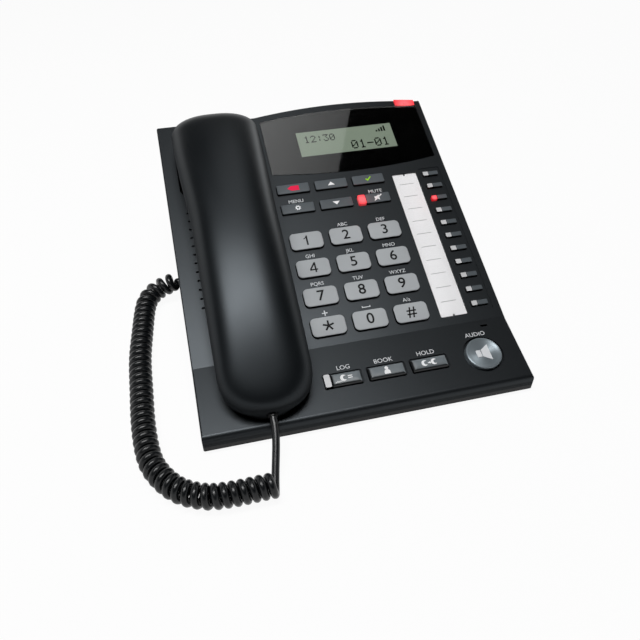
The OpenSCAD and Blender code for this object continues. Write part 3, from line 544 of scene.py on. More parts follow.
def make_lower_plastic():
    """Glossy grey of the lower keys with painted shade: it goes dark where a cap rolls down to the front and
    left.
    """
    material, tree, shader, tone = patchy_material("lower_key_plastic", 60.0, 0.34, 0.28)
    # Painted shade: faces turned away from LIGHT_SIDE take a near-black colour
    top = span_node(tree, facing(tree, FRONT.to_3x3() @ LIGHT_SIDE), 0.5, 0.77)
    grey = mix_colour(tree, tone, (0.148, 0.17, 0.184), (0.164, 0.188, 0.202))
    give(shader, Base_Color=mix_colour(tree, top, (0.006, 0.007, 0.008), grey), Coat_Weight=0.2)
    return material


def make_spun_silver(place):
    """Silver lacquer over a turned face: highlights spread out from the key's middle."""
    material, tree, shader, tone = patchy_material("spun_silver", 60.0, 0.44, 0.40)
    outward = vector_node(tree, "SUBTRACT", on_surface(tree, "Object"), place)
    give(shader, Base_Color=mix_colour(tree, tone, (0.23, 0.27, 0.295), (0.25, 0.29, 0.315)),
         Tangent=outward, Metallic=0.6, Anisotropic=0.75)
    return material


lower_plastic = make_lower_plastic()


# Curly cord, on the same route and turns as its solid and a little thicker, so that its turns lie close

CORD_D = 4.1
COIL_D = 13.1
LOOSE_PITCH = 4.7
TIGHT_PITCH = 4.5
BEND_MORE = 1
JACK_Y = 22.6689
JACK_Z = 11.7
PLUG_FACE = LEFT_X - 0.2
LAY_Z = COIL_D / 2 + 0.1
ROUTE = [(-4, 0, 5.2), (-10, 0.6, 3.4), (-17, -1.6, 1.4), (-22, -7.5, 0.3), (-24.6, -17, 0), (-27, -38, 0),
         (-29, -60, 0), (-29.2, -85, 0), (-29, -110, 0), (-27, -130, 0), (-22.6, -142, 0), (-14, -153, 0),
         (-2, -159.6, 0), (10, -161.4, 0)]
FRONT_RUN = -161.4
COIL_ENDS = (HANDSET_X - 12, HANDSET_X - 5.5)
ROUTE_STEPS = 24
FIRST_BEND = (28, 42)
LAST_TURNS = (36, 22)
COIL_OPENS = (0.5, 5.5)
TURN_POINTS = 20
CORD_SIDES = 14
LEAVE_ANGLE = -70
LEAVE_HEADING = (0.16, 0.94, 0.34)
LEAVE_PULL = 0.3
ENTER_PULL = 0.35
LEAD_POINTS = 25
LEAD_END = (HANDSET_X, -38.55, 10.2)


def deck_point(x, s, h):
    """Place on the deck: x across, s up the slope, h above it, in millimetres."""
    return np.array(DECK @ (Vector((x, s, h)) * MM)) / MM


def coil_axis():
    """Even curve through the route that the middle of the coil follows."""
    knots = [(PLUG_FACE, JACK_Y, JACK_Z)]
    knots += [(LEFT_X + x, JACK_Y + y, LAY_Z + z) for x, y, z in ROUTE]
    knots += [(x, JACK_Y + FRONT_RUN, LAY_Z) for x in COIL_ENDS]
    knots = np.array(knots)
    last = len(knots) - 1
    points = []
    for i in range(last):
        a, b, c, d = (knots[min(max(i + k, 0), last)] for k in (-1, 0, 1, 2))
        for t in np.arange(ROUTE_STEPS) / ROUTE_STEPS:
            points.append(0.5 * (2 * b + (c - a) * t + (2 * a - 5 * b + 4 * c - d) * t * t
                                 + (3 * b - a - 3 * c + d) * t ** 3))
    return np.array(points + [knots[last]])


def cord_path():
    """Points of the cord's own middle line, and a direction across it at each, in millimetres."""
    axis = coil_axis()
    steps = np.linalg.norm(np.diff(axis, axis=0), axis=1)
    along = np.r_[0, np.cumsum(steps)]
    whole = along[-1]
    pitch = LOOSE_PITCH + BEND_MORE * (1 - ramp(*FIRST_BEND, along))
    pitch += (TIGHT_PITCH - LOOSE_PITCH) * ramp(whole - LAST_TURNS[0], whole - LAST_TURNS[1], along)
    turns = np.r_[0, np.cumsum(steps / pitch[:-1])]
    fine = np.linspace(0, turns[-1], int(turns[-1] * TURN_POINTS))
    s = np.interp(fine, turns, along)
    middle = np.stack([np.interp(s, along, axis[:, k]) for k in range(3)], 1)
    heading = np.gradient(middle, axis=0)
    heading /= np.linalg.norm(heading, axis=1)[:, None]
    side = np.cross((0, 0, 1), heading)
    side /= np.linalg.norm(side, axis=1)[:, None]
    up = np.cross(heading, side)
    angle = np.radians(LEAVE_ANGLE) + 2 * math.pi * (fine - turns[-1])
    radius = (COIL_D - CORD_D) / 2 * ramp(*COIL_OPENS, s)
    across = np.cos(angle)[:, None] * side + np.sin(angle)[:, None] * up
    coil = middle + radius[:, None] * across
    end = deck_point(*LEAD_END)
    inward = np.array((0, math.cos(DECK_TILT), math.sin(DECK_TILT)))
    start = coil[-1]
    reach = np.linalg.norm(end - start)
    leave = np.array(LEAVE_HEADING)
    leave /= np.linalg.norm(leave)
    t = np.linspace(0, 1, LEAD_POINTS)[1:, None]
    pulls = (start, start + leave * reach * LEAVE_PULL, end - inward * reach * ENTER_PULL,
             end - inward * CORD_D)
    lead = (pulls[0] * (1 - t) ** 3 + pulls[1] * 3 * t * (1 - t) ** 2 + pulls[2] * 3 * t * t * (1 - t)
            + pulls[3] * t ** 3)
    path = np.vstack([coil, lead, end[None]])
    return path, np.vstack([across, np.repeat(across[-1:], len(lead) + 1, 0)])


def make_cord():
    """Tube along the cord's middle line."""
    path, across = cord_path()
    heading = np.gradient(path, axis=0)
    heading[0] = (-1, 0, 0)
    heading /= np.linalg.norm(heading, axis=1)[:, None]
    across = across - heading * (across * heading).sum(1)[:, None]
    across /= np.linalg.norm(across, axis=1)[:, None]
    over = np.cross(heading, across)
    rings = [[(path[i] + CORD_D / 2 * (math.cos(a) * across[i] + math.sin(a) * over[i])) * MM
              for a in round_turn(CORD_SIDES)] for i in range(len(path))]
    cord = shade_smooth(skin("cord_tube", rings), math.radians(60))
    cord.data.materials.append(cord_plastic)
    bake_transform(cord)
    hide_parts("curly_cord")


# Handset: two shells over its two solids, a little more bowed than they are and wider at the ear

HANDSET_LEN = 205
HANDSET_W = 51
SEAM_H = 17.5
SEAM_BOW = 7
CROWN_H = 33.2
CROWN_BOW = 12
CREST_AT = 0.05
GRIP_H = 10
EAR_R = 22
MOUTH_R = 21
MOUTH_END = -37.05
EAR_END = MOUTH_END + HANDSET_LEN
EAR_S = EAR_END - EAR_R - 1
MOUTH_S = MOUTH_END + MOUTH_R - 0.3
CAP_TOP = 10.5
EAR_CAP_H = -5.7
MOUTH_CAP_H = 1.5
EAR_LOW = 5
MOUTH_LOW = 7.5
MOUTH_ROUND = 25
EAR_ROUND = 16
EAR_FLARE = 2.2
EAR_SHIFT = 1.0
FLARE_RUN = 70
SEAM_GROOVE = 0.25
SEAM_STEP = 0.985
GROOVE_SHARE = 0.1
RING_STEPS = 40
STATIONS = 90
END_SHARE = 0.9995

# How square the ends are, at the mouth and at the ear, and how full the section is
PLAN_POWERS = (2.5, 2.8)
CROWN_POWERS = (6.0, 3.6)
BELLY_POWERS = (3.6, 3.6)
SIDE_FULLNESS = 0.8
CROWN_FULLNESS = 0.8
BELLY_FULLNESS = 0.6

# Lower side: where it rises to the grip and falls to the ear, from the rims of the two caps
GRIP_RISE = (4, 26)
EAR_DROP = 26


def end_fall(s, mouth_power, ear_power):
    """How much of the full width or height is left towards the two ends."""
    power, t = mouth_power, 0
    if s < MOUTH_END + MOUTH_ROUND:
        t = (MOUTH_END + MOUTH_ROUND - s) / MOUTH_ROUND
    elif s > EAR_END - EAR_ROUND:
        power, t = ear_power, (s - EAR_END + EAR_ROUND) / EAR_ROUND
    return 0 if t >= 1 else (1 - t ** power) ** (1 / power)


def from_middle(s):
    """Place along the handset: -1 at the mouth end, 1 at the ear end."""
    return (s - (MOUTH_END + EAR_END) / 2) / (HANDSET_LEN / 2)


def seam_at(s):
    """Height of the seam above the deck."""
    return SEAM_H - SEAM_BOW * from_middle(s) ** 2


def crown_at(s):
    """Height of the crown above the seam."""
    top = CROWN_H - CROWN_BOW * (from_middle(s) - CREST_AT) ** 2
    return (top - seam_at(s)) * end_fall(s, *CROWN_POWERS)


def belly_at(s):
    """Depth of the lower side below the seam."""
    mouth_rim = MOUTH_S + MOUTH_R
    ear_rim = EAR_S - EAR_R
    grip = MOUTH_LOW + (GRIP_H - MOUTH_LOW) * ramp(mouth_rim + GRIP_RISE[0], mouth_rim + GRIP_RISE[1], s)
    low = grip + (EAR_LOW - GRIP_H) * ramp(ear_rim - EAR_DROP, ear_rim, s)
    return (seam_at(s) - low) * end_fall(s, *BELLY_POWERS)


def handset_ring(s, upper):
    """Half section of the handset; the upper shell steps in at the seam, which leaves a fine groove."""
    flare = ramp(EAR_S - FLARE_RUN, EAR_S, s)
    half = (HANDSET_W / 2 + EAR_FLARE * flare) * end_fall(s, *PLAN_POWERS)
    rise = crown_at(s) if upper else -belly_at(s)
    power = CROWN_FULLNESS if upper else BELLY_FULLNESS
    groove = min(SEAM_GROOVE, abs(rise) * GROOVE_SHARE) if upper else 0.0
    step = half * SEAM_STEP
    points = [(step, 0), (step, groove)] if upper else []
    for k in range(RING_STEPS + 1):
        a = math.pi * k / RING_STEPS
        c = math.copysign(abs(math.cos(a)) ** SIDE_FULLNESS, math.cos(a))
        points.append((half * c, groove + (rise - groove) * max(math.sin(a), 0) ** power))
    if upper:
        points += [(-step, groove), (-step, 0)]
    middle = HANDSET_X - EAR_SHIFT * flare
    return [deck_point(middle + x, s, seam_at(s) + h) * MM for x, h in points]


EAR_HOLE_R = 1.2
EAR_HOLE_RING = 9
EAR_HOLES = 6
MOUTH_HOLE_R = 0.9
MOUTH_HOLES_X = (-4, 0, 4)


def make_handset():
    """Both shells, with stations that crowd at the ends, and the two caps."""
    middle = (MOUTH_END + EAR_END) / 2
    stations = [middle + HANDSET_LEN / 2 * math.sin(math.pi * (i / STATIONS - 0.5)) * END_SHARE
                for i in range(1, STATIONS)]
    for name, upper, node in (("handset_top_shell", True, "handset_back"),
                              ("handset_under_shell", False, "handset_front")):
        shell = shade_smooth(skin(name, [handset_ring(s, upper) for s in stations]), math.radians(50))
        dress_piece(shell, handset_plastic, "handset", "handset", node)
    ear_holes = [circle(0, 0, EAR_HOLE_R)]
    for a in round_turn(EAR_HOLES):
        ear_holes.append(circle(EAR_HOLE_RING * math.cos(a), EAR_HOLE_RING * math.sin(a), EAR_HOLE_R))
    make_cap("ear_cap", EAR_S, EAR_R, EAR_CAP_H, ear_holes)
    mouth_holes = [circle(x, 0, MOUTH_HOLE_R) for x in MOUTH_HOLES_X]
    make_cap("mouth_cap", MOUTH_S, MOUTH_R, MOUTH_CAP_H, mouth_holes)


CAP_T = 2.0
CAP_RIM = 0.5
CAP_SIDES = 96
WALL_LOW = 1.6
WALL_IN = 0.02
WALL_T = 2


def make_cap(name, s, radius, low, holes):
    """Round cap with sound holes: a plate with a rounded rim, and the wall above it."""
    plate = flat_mesh([circle(0, 0, radius, CAP_SIDES)] + holes, CAP_T, CAP_RIM)
    face = joined(name, [(plate, on_panel(DECK, HANDSET_X, s, low + CAP_T / 2))])
    dress_piece(shade_smooth(face), handset_plastic, "handset", "handset")
    inner, outer = radius - WALL_T, radius - WALL_IN
    foot = low + WALL_LOW
    profile = [(inner, foot), (outer, foot), (outer, CAP_TOP), (inner, CAP_TOP)]
    wall = lathe(name + "_wall", profile, on_panel(DECK, HANDSET_X, s, 0))
    dress_piece(wall, handset_plastic, "handset", "handset")


def paint(piece, material):
    piece.data.materials.clear()
    piece.data.materials.append(material)


def dress_node(node, material):
    paint(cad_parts[node], material)


def dress_piece(piece, material, body, slot, *nodes):
    """Gives a piece its material and its body, and hides the CAD nodes that it stands for. The slot is not
    used.
    """
    paint(piece, material)
    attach(piece, body)
    if nodes:
        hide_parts(*nodes)
    return piece


# Painted shade: a matt black sheet over the floor and walls of the ear well, which stands for the shade in
# the well

WELL_W = 58
WELL_LEN = 54
WELL_DEPTH = 6
WELL_R = 5
WELL_GAP = 0.02
WELL_UP = 1
SHADE_SHEET = 0.3
SHADE_FLOOR_T = 0.12
SHADE_FLOOR_LIFT = 0.07
SHADE_SHEET_SINK = 0.1


def rounded(w, h, r):
    """Outline of a rectangle with rounded corners, its middle at the origin."""
    x, y = w / 2 - r, h / 2 - r
    return arc(x, y, r, 0, 90) + arc(-x, y, r, 90, 180) + arc(-x, -y, r, 180, 270) + arc(x, -y, r, 270, 360)


def make_ear_well_shade():
    outer = rounded(WELL_W - WELL_GAP, WELL_LEN - WELL_GAP, WELL_R)
    inner = rounded(WELL_W - SHADE_SHEET, WELL_LEN - SHADE_SHEET, WELL_R - SHADE_SHEET / 2)
    middle = EAR_S + WELL_UP
    floor = flat_mesh([outer], SHADE_FLOOR_T)
    wall = flat_mesh([outer, inner], WELL_DEPTH - SHADE_SHEET)
    # Painted shade: a floor sheet and a wall sheet that make the well look dark
    shade_sheet = joined("ear_well_shade_sheet", [(floor, on_panel(DECK, HANDSET_X, middle, SHADE_FLOOR_LIFT - WELL_DEPTH)),
                                  (wall, on_panel(DECK, HANDSET_X, middle, -WELL_DEPTH / 2 - SHADE_SHEET_SINK))])
    dress_piece(shade_sheet, well_shade_sheet, "base", "case")


# Window and display

WINDOW_LOW = -1.0
WINDOW_EDGE = 0.15
WINDOW_BOW = 4.3
PRINT_T = 0.05
PRINT_GAP = 0.04
LCD_W = 67.4
LCD_H = 21.4
LCD_X = 32.35
LCD_S = 150.2
LCD_TOP = -1.2
LCD_LEFT = LCD_X - LCD_W / 2
LCD_RIGHT = LCD_X + LCD_W / 2
LCD_CELL_W = 0.74
LCD_CELL_H = 0.86
LCD_DOT = 0.98
LCD_INK = 0.04
LCD_INK_LIFT = 0.015

# Lines of the display: text, left side, foot and size
LCD_LINES = (("12:30", LCD_LEFT + 5, LCD_S + 1.4, 1.0), ("01-01", LCD_RIGHT - 31, LCD_S - 8, 1.25))

# Bars of the signal sign
BARS = 4
BARS_X = LCD_RIGHT - 11
BARS_S = LCD_S + 4.2
BAR_STEP = 1.9
BAR_W = 1.2
BAR_LOW = 1.5
BAR_RISE = 1.1

MESSAGE_AT = DECK @ (Vector((81.5, 176.3, 0.5)) * MM)
CELLS = {
    "0": ("01110", "10001", "10011", "10101", "11001", "10001", "01110"),
    "1": ("00100", "01100", "00100", "00100", "00100", "00100", "01110"),
    "2": ("01110", "10001", "00001", "00010", "00100", "01000", "11111"),
    "3": ("11111", "00010", "00100", "00010", "00001", "10001", "01110"),
    ":": ("00000", "00100", "00100", "00000", "00100", "00100", "00000"),
    "-": ("00000", "00000", "00000", "11111", "00000", "00000", "00000"),
}


def cell_rows(text):
    """Dots of a line of dot-matrix characters, in cells from its lower left."""
    dots = []
    for i, letter in enumerate(text):
        for row, line in enumerate(CELLS[letter]):
            dots += [(6 * i + col, 6 - row) for col, mark in enumerate(line) if mark == "1"]
    return dots


def bowed_outline(low, high, bow, steps=32):
    """Outline with straight sides and bowed lower and upper edges."""
    x0, y0 = low[0], low[1] + bow
    x1, y1 = high[0], high[1] - bow
    across = np.linspace(0, 1, steps)
    lower = [(x0 + (x1 - x0) * t, y0 - bow * 4 * t * (1 - t)) for t in across]
    upper = [(x1 - (x1 - x0) * t, y1 + bow * 4 * t * (1 - t)) for t in across]
    return lower + upper


def make_display():
    """Dark print behind the window, open over the display, and the dots and bars shown there."""
    low, high = extent("display_window", DECK)
    outline = bowed_outline(low[:2] + WINDOW_EDGE, high[:2] - WINDOW_EDGE, WINDOW_BOW)
    print_mesh = flat_mesh([outline, oblong(LCD_X, LCD_S, LCD_W, LCD_H)], PRINT_T)
    sheet = joined("window_print", [(print_mesh, on_panel(DECK, 0, 0, WINDOW_LOW - PRINT_GAP))])
    dress_piece(sheet, print_black, "base", "window")
    ink = []
    for text, x, s, size in LCD_LINES:
        cell_w = LCD_CELL_W * size
        cell_h = LCD_CELL_H * size
        for col, row in cell_rows(text):
            ink.append(oblong(x + col * cell_w, s + row * cell_h, cell_w * LCD_DOT, cell_h * LCD_DOT))
    for k in range(BARS):
        tall = BAR_LOW + BAR_RISE * k
        ink.append(oblong(BARS_X + BAR_STEP * k, BARS_S + tall / 2, BAR_W, tall))
    place = on_panel(DECK, 0, 0, LCD_TOP + LCD_INK_LIFT)
    shown = joined("display_digits", [(flat_mesh(ink, LCD_INK), place)])
    dress_piece(shown, lcd_ink, "base", "lcd")


# Keys, signs and lettering

DIGIT_H = 7.0
DIGIT_BOLD = 0.11
DRAWN_DIGITS = {
    "1": [[(-1.7, 1.5), (-0.6, 2.1), (0.05, 3.5), (0.75, 3.5), (0.75, -3.5), (-0.3, -3.5), (-0.3, 1.75),
           (-1.7, 0.75)]],
    "4": [[(0.55, -3.5), (1.55, -3.5), (1.55, -2.0), (2.4, -2.0), (2.4, -1.1), (1.55, -1.1), (1.55, 3.5),
           (0.6, 3.5), (-2.5, -1.0), (-2.5, -2.0), (0.55, -2.0)],
          [(0.55, -1.1), (-1.45, -1.1), (0.55, 1.75)]],
}
STAR_SIGN = burst(3.4, 5, 1.1, 0.95)
PLUS_SIGN = burst(1.7, 4, 0.6, 0.42)
SPACE_SIGN = [(-2.6, 0.5), (-2.6, -0.6), (2.6, -0.6), (2.6, 0.5), (2.1, 0.5), (2.1, -0.1), (-2.1, -0.1),
              (-2.1, 0.5)]
DIAL_SIGNS = {f"key_{digit}": digit for digit in "123456789"}
DIAL_SIGNS |= {"key_star": "*", "key_0": "0", "key_hash": "#"}
DIAL_LEGENDS = {"key_2": "ABC", "key_3": "DEF", "key_4": "GHI", "key_5": "JKL", "key_6": "MNO",
                "key_7": "PQRS", "key_8": "TUV", "key_9": "WXYZ", "key_hash": "A/a"}
FUNCTION_KEYS = ("clear_key", "up_key", "confirm_key", "settings_key", "down_key", "mute_key")
LOWER_KEYS = ("log_key", "book_key", "transfer_key")
LINE_KEYS = tuple(f"line_key_{i}" for i in range(1, 12))
FUNCTION_WORDS = {"settings_key": "MENU", "mute_key": "MUTE"}
LOWER_WORDS = {"log_key": "LOG", "book_key": "BOOK", "transfer_key": "HOLD", "speaker_key": "AUDIO"}


def middle_of(node, panel):
    """Middle of a key on its panel, and the height of its top."""
    low, high = extent(node, panel)
    return (low[0] + high[0]) / 2, (low[1] + high[1]) / 2, high[2]


def speaker_sign(x, y, size, gap=0.0):
    """Loudspeaker sign; with a gap, the box and the horn are apart."""
    if gap:
        box = oblong(x - 0.72 * size, y, 0.56 * size, 0.9 * size)
        horn = [(x - 0.44 * size + gap, y - 0.45 * size), (x + 0.6 * size, y - 1.05 * size),
                (x + 0.6 * size, y + 1.05 * size), (x - 0.44 * size + gap, y + 0.45 * size)]
        return [box, horn]
    return [(x - size, y - 0.45 * size), (x - 0.35 * size, y - 0.45 * size),
            (x + 0.6 * size, y - 1.05 * size), (x + 0.6 * size, y + 1.05 * size),
            (x - 0.35 * size, y + 0.45 * size), (x - size, y + 0.45 * size)]


def receiver_sign(x, y, size):
    """Small upright handset: a bow that is thin in the middle and thick at its two ends."""
    outer = arc(0, 0, size, 62, 298, 16)
    inner = arc(size * 0.5, 0, size * 0.66, 244, 116, 10)
    shape = outer + [(size * 0.72, -size * 0.62)] + inner + [(size * 0.72, size * 0.62)]
    return [(x + px, y + py) for px, py in shape]


def gear_sign(x, y, size, teeth=8):
    points = []
    for k in range(teeth):
        for part, radius in ((0.0, 0.76), (0.22, 0.76), (0.3, 1.0), (0.62, 1.0), (0.7, 0.76)):
            a = 2 * math.pi * (k + part) / teeth
            points.append((x + radius * size * math.cos(a), y + radius * size * math.sin(a)))
    return points


KEY_SIGNS = {
    "clear_key": (red_ink, [[(-3.8, 0), (-1.3, 1.9), (3.8, 1.9), (3.8, -1.9), (-1.3, -1.9)]]),
    "up_key": (white_ink, [[(-2.3, -1.25), (2.3, -1.25), (0, 1.5)]]),
    "down_key": (white_ink, [[(-2.3, 1.25), (0, -1.5), (2.3, 1.25)]]),
    "confirm_key": (green_ink, [[(-2.1, 0), (-1.3, 0.6), (-0.6, -0.3), (1.7, 1.9), (2.2, 1.4),
                                 (-0.5, -1.7)]]),
    "settings_key": (white_ink, [gear_sign(0, 0, 1.9), circle(0, 0, 0.75)]),
    "mute_key": (white_ink, [speaker_sign(-0.3, 0, 2.0),
                             [(-2.9, -2.0), (-2.3, -2.5), (3.1, 2.0), (2.5, 2.5)]]),
    "log_key": (white_ink, [receiver_sign(-1.6, 0.2, 2.0), oblong(2.2, 1.0, 2.6, 0.55),
                            oblong(2.2, -0.2, 2.6, 0.55)]),
    "book_key": (white_ink, [circle(0, 1.5, 1.05),
                             [(-1.7, -2.2), (1.7, -2.2), *arc(0, -1.0, 1.7, 0, 180)]]),
    "transfer_key": (white_ink, [receiver_sign(-3.0, 0.2, 1.9), receiver_sign(2.6, 0.2, 1.9),
                                 [(-1.2, -0.3), (-0.2, -0.3), (-0.2, -0.9), (0.9, 0), (-0.2, 0.9),
                                  (-0.2, 0.3), (-1.2, 0.3)]]),
}


HOLED_SIGNS = ("settings_key",)


def make_key_prints():
    """Digits on the dial keys, and signs on the function keys and the lower keys."""
    for node, sign in DIAL_SIGNS.items():
        x, y, top = middle_of(node, DECK)
        if sign == "*":
            mesh = flat_mesh([STAR_SIGN], INK_DEPTH)
        elif sign in DRAWN_DIGITS:
            mesh = flat_mesh(DRAWN_DIGITS[sign], INK_DEPTH)
        else:
            mesh = word_mesh(sign, DIGIT_H, DIGIT_BOLD)
        digit = joined(node + "_digit", [(mesh, on_panel(DECK, x, y, top + INK_LIFT))])
        dress_piece(digit, dark_ink, node + "_button", "light_key")
    for node, (ink, loops) in KEY_SIGNS.items():
        panel, slot = (FRONT, "lower_key") if node in LOWER_KEYS else (DECK, "grey_key")
        x, y, top = middle_of(node, panel)
        plates = [loops] if node in HOLED_SIGNS else [[loop] for loop in loops]
        parts = [(flat_mesh(plate, INK_DEPTH), on_panel(panel, x, y, top + INK_LIFT)) for plate in plates]
        dress_piece(joined(node + "_sign", parts), ink, node + "_button", slot)


# Heights of the lettering, and how far its middle lies above the middle of its key
LEGEND_H, LEGEND_UP = 2.5, 9.4
MARK_UP = 9.3
WORD_H, WORD_UP = 2.6, 6.4
LOWER_WORD_H, LOWER_WORD_UP = 2.8, 7.4
SPEAKER_WORD_UP = 13.6


def make_panel_prints():
    """Letter groups, marks and words on the deck and the front panel."""
    parts = []

    def put(mesh, panel, node, above):
        x, y, _ = middle_of(node, panel)
        parts.append((mesh, on_panel(panel, x, y + above, INK_LIFT)))

    for node, text in DIAL_LEGENDS.items():
        put(word_mesh(text, LEGEND_H), DECK, node, LEGEND_UP)
    put(flat_mesh([PLUS_SIGN], INK_DEPTH), DECK, "key_star", MARK_UP)
    put(flat_mesh([SPACE_SIGN], INK_DEPTH), DECK, "key_0", MARK_UP)
    for node, text in FUNCTION_WORDS.items():
        put(word_mesh(text, WORD_H), DECK, node, WORD_UP)
    for node, text in LOWER_WORDS.items():
        above = SPEAKER_WORD_UP if node == "speaker_key" else LOWER_WORD_UP
        put(word_mesh(text, LOWER_WORD_H), FRONT, node, above)
    dress_piece(joined("panel_lettering", parts), legend_ink, "base", "case")


CARD_LINE = (9.6, 0.3)
CARD_LINE_LEFT = 0.3
CARD_INK = 0.04
CARD_INK_LIFT = 0.01


def make_card_lines():
    """Ruled lines on the label card, half-way between the line keys."""
    low, high = extent("label_card", DECK)
    x = (low[0] + high[0]) / 2 - CARD_LINE_LEFT
    rows = [middle_of(node, DECK)[1] for node in LINE_KEYS]
    lines = [oblong(x, (a + b) / 2, *CARD_LINE) for a, b in zip(rows, rows[1:])]
    place = on_panel(DECK, 0, 0, high[2] + CARD_INK_LIFT)
    sheet = joined("card_lines", [(flat_mesh(lines, CARD_INK), place)])
    dress_piece(sheet, line_ink, "base", "card")


SPEAKER_R = 10.3
AXIS_R = 0.01
POST_R = 2
FLANGE_LOW = -3.5
FLANGE_T = 1
FLANGE_OUT = 1.2
FLANGE_TOP = FLANGE_LOW + FLANGE_T
RIM_ROLL = 0.6
RIM_IN, RIM_DROP = 1.1, 0.02
DISH_IN, DISH_DROP = 1.3, 0.12
DISH_DEPTH = 0.6
DISH_STEPS = 14
SPEAKER_SIGN_T = 0.5
SPEAKER_SIGN_SINK = 0.45


def make_speaker_key():
    """Round key with a rolled rim and a shallow dish, on its flange and post."""
    x, y, top = middle_of("speaker_key", FRONT)
    foot = extent("speaker_key", FRONT)[0][2]
    flange_r = SPEAKER_R + FLANGE_OUT
    profile = [(AXIS_R, foot), (POST_R, foot), (POST_R, FLANGE_LOW), (flange_r, FLANGE_LOW),
               (flange_r, FLANGE_TOP), (SPEAKER_R, FLANGE_TOP), (SPEAKER_R, top - RIM_ROLL)]
    profile += [(SPEAKER_R - RIM_ROLL + r, top - RIM_ROLL + h) for r, h in arc(0, 0, RIM_ROLL, 15, 90, 5)]
    profile += [(SPEAKER_R - RIM_IN, top - RIM_DROP)]
    for k in range(1, DISH_STEPS + 1):
        r = (SPEAKER_R - DISH_IN) * (1 - k / DISH_STEPS)
        profile.append((max(r, AXIS_R), top - DISH_DROP - DISH_DEPTH * (1 - (r / SPEAKER_R) ** 2)))
    key = lathe("speaker_key_cap", profile, on_panel(FRONT, x, y, 0))
    spun_silver = make_spun_silver(FRONT @ (Vector((x, y, top)) * MM))
    dress_piece(key, spun_silver, "speaker_key_button", "lower_key", "speaker_key")
    sign = flat_mesh(speaker_sign(x=0.6, y=0, size=5.0, gap=0.5), SPEAKER_SIGN_T)
    piece = joined("speaker_key_sign", [(sign, on_panel(FRONT, x, y, top - SPEAKER_SIGN_SINK))])
    dress_piece(piece, legend_ink, "speaker_key_button", "lower_key")


# Key caps: the same blocks and flanges as their solids, with rounded and softly crowned tops

SIDE_RINGS = 4
EDGE_STEPS = 5
CROWN_STEPS = 6
FLANGE_CORNER = 0.8
LAST_RING = 0.05
EDGE_CORNER, CROWN_CORNER = 0.05, 0.02


def make_key_cap(node, panel, corner, edge, crown, material, slot):
    """Ring by ring up the sides, which are painted dark as shade, round the edge, and over the crown to the
    middle.
    """
    dress_node(node, material)
    low, high = extent(node, panel)
    x, y, top = middle_of(node, panel)
    w = high[0] - low[0]
    long = high[1] - low[1]
    h = long - 2 * FLANGE_OUT
    flange = (w, long, min(corner, FLANGE_CORNER))
    steps = [(*flange, FLANGE_LOW), (*flange, FLANGE_TOP), (w, h, corner, FLANGE_TOP)]
    rim = top - crown - edge
    for k in range(EDGE_STEPS + 1):
        a = math.pi / 2 * k / EDGE_STEPS
        inset = edge * (1 - math.cos(a))
        steps.append((w - 2 * inset, h - 2 * inset, max(corner - inset, EDGE_CORNER),
                      rim + edge * math.sin(a)))
    reach = h / 2 - edge - LAST_RING
    for k in range(1, CROWN_STEPS + 1):
        inset = edge + reach * k / CROWN_STEPS
        steps.append((w - 2 * inset, h - 2 * inset, max(corner - inset, CROWN_CORNER),
                      top - crown * (1 - k / CROWN_STEPS) ** 2))
    place = on_panel(panel, x, y, 0)
    rings = [[place @ (Vector((px, py, z)) * MM) for px, py in rounded(wide, tall, r)]
             for wide, tall, r, z in steps]
    cap = shade_smooth(skin(node + "_cap", rings))
    dress_piece(cap, material, node + "_button", slot, node)
    # Painted shade: the lowest side rings take the near-black side material
    cap.data.materials.append(key_side_shade)
    for face in cap.data.polygons:
        if face.index < SIDE_RINGS * len(rings[0]):
            face.material_index = 1


# Kinds of keys: panel, corner radius, rounding of the edge, rise of the crown, plastic and slot
KEY_KINDS = ((DIAL_SIGNS, (DECK, 3.0, 0.5, 0.12, dial_plastic, "light_key")),
             (FUNCTION_KEYS, (DECK, 0.8, 0.45, 0.1, function_plastic, "grey_key")),
             (LOWER_KEYS, (FRONT, 0.8, 1.9, 0.15, lower_plastic, "lower_key")),
             (LINE_KEYS, (DECK, 0.4, 0.3, 0.05, function_plastic, "grey_key")))


def make_key_caps():
    for nodes, kind in KEY_KINDS:
        for node in nodes:
            make_key_cap(node, *kind)


# CAD nodes: finish

# Lit lenses: the key that each stands beside, and how far from the key's middle
LINE_LENS = ("line_key_3", -5.3)
MUTE_LENS = ("mute_key", -10.6)
LINE_LENS_R = 0.0031
MUTE_LENS_R = 0.0062


def dress_nodes():
    """Every CAD node but the keys gets its finish here, also those that a piece stands for."""
    lit = [(lens_beside(*LINE_LENS), LINE_LENS_R), (lens_beside(*MUTE_LENS), MUTE_LENS_R)]
    finishes = {"upper_case": case_plastic, "lower_case": under_plastic, "battery_door": under_plastic,
                "display_window": make_clear_window(), "lcd_panel": lcd_back,
                "message_lamp": make_message_lamp(MESSAGE_AT),
                "label_card": card_paper, "label_cover": make_clear_cover(),
                "lamp_lenses": make_lamp_lens(lit), "key_mat": mat_rubber, "key_board": board_green,
                "main_board": board_green, "loudspeaker": driver_paper, "battery_pack": battery_wrap,
                "rubber_feet": foot_rubber, "case_screws": screw_steel, "dc_jack": socket_plastic,
                "cord_jack": socket_plastic, "antenna": antenna_brass, "hook_plunger": hook_plastic,
                "receiver_capsule": capsule_alloy, "handset_microphone": capsule_alloy,
                "base_plug": plug_plastic, "handset_plug": plug_plastic,
                "handset_back": handset_plastic, "handset_front": handset_plastic,
                "curly_cord": cord_plastic, "speaker_key": lower_plastic}
    for node, material in finishes.items():
        dress_node(node, material)


def lens_beside(node, offset):
    """Middle of the top of the lamp lens at a key's left, in metres."""
    x, y, top = middle_of(node, DECK)
    return DECK @ (Vector((x + offset, y, top)) * MM)


# Floor, backdrop and light

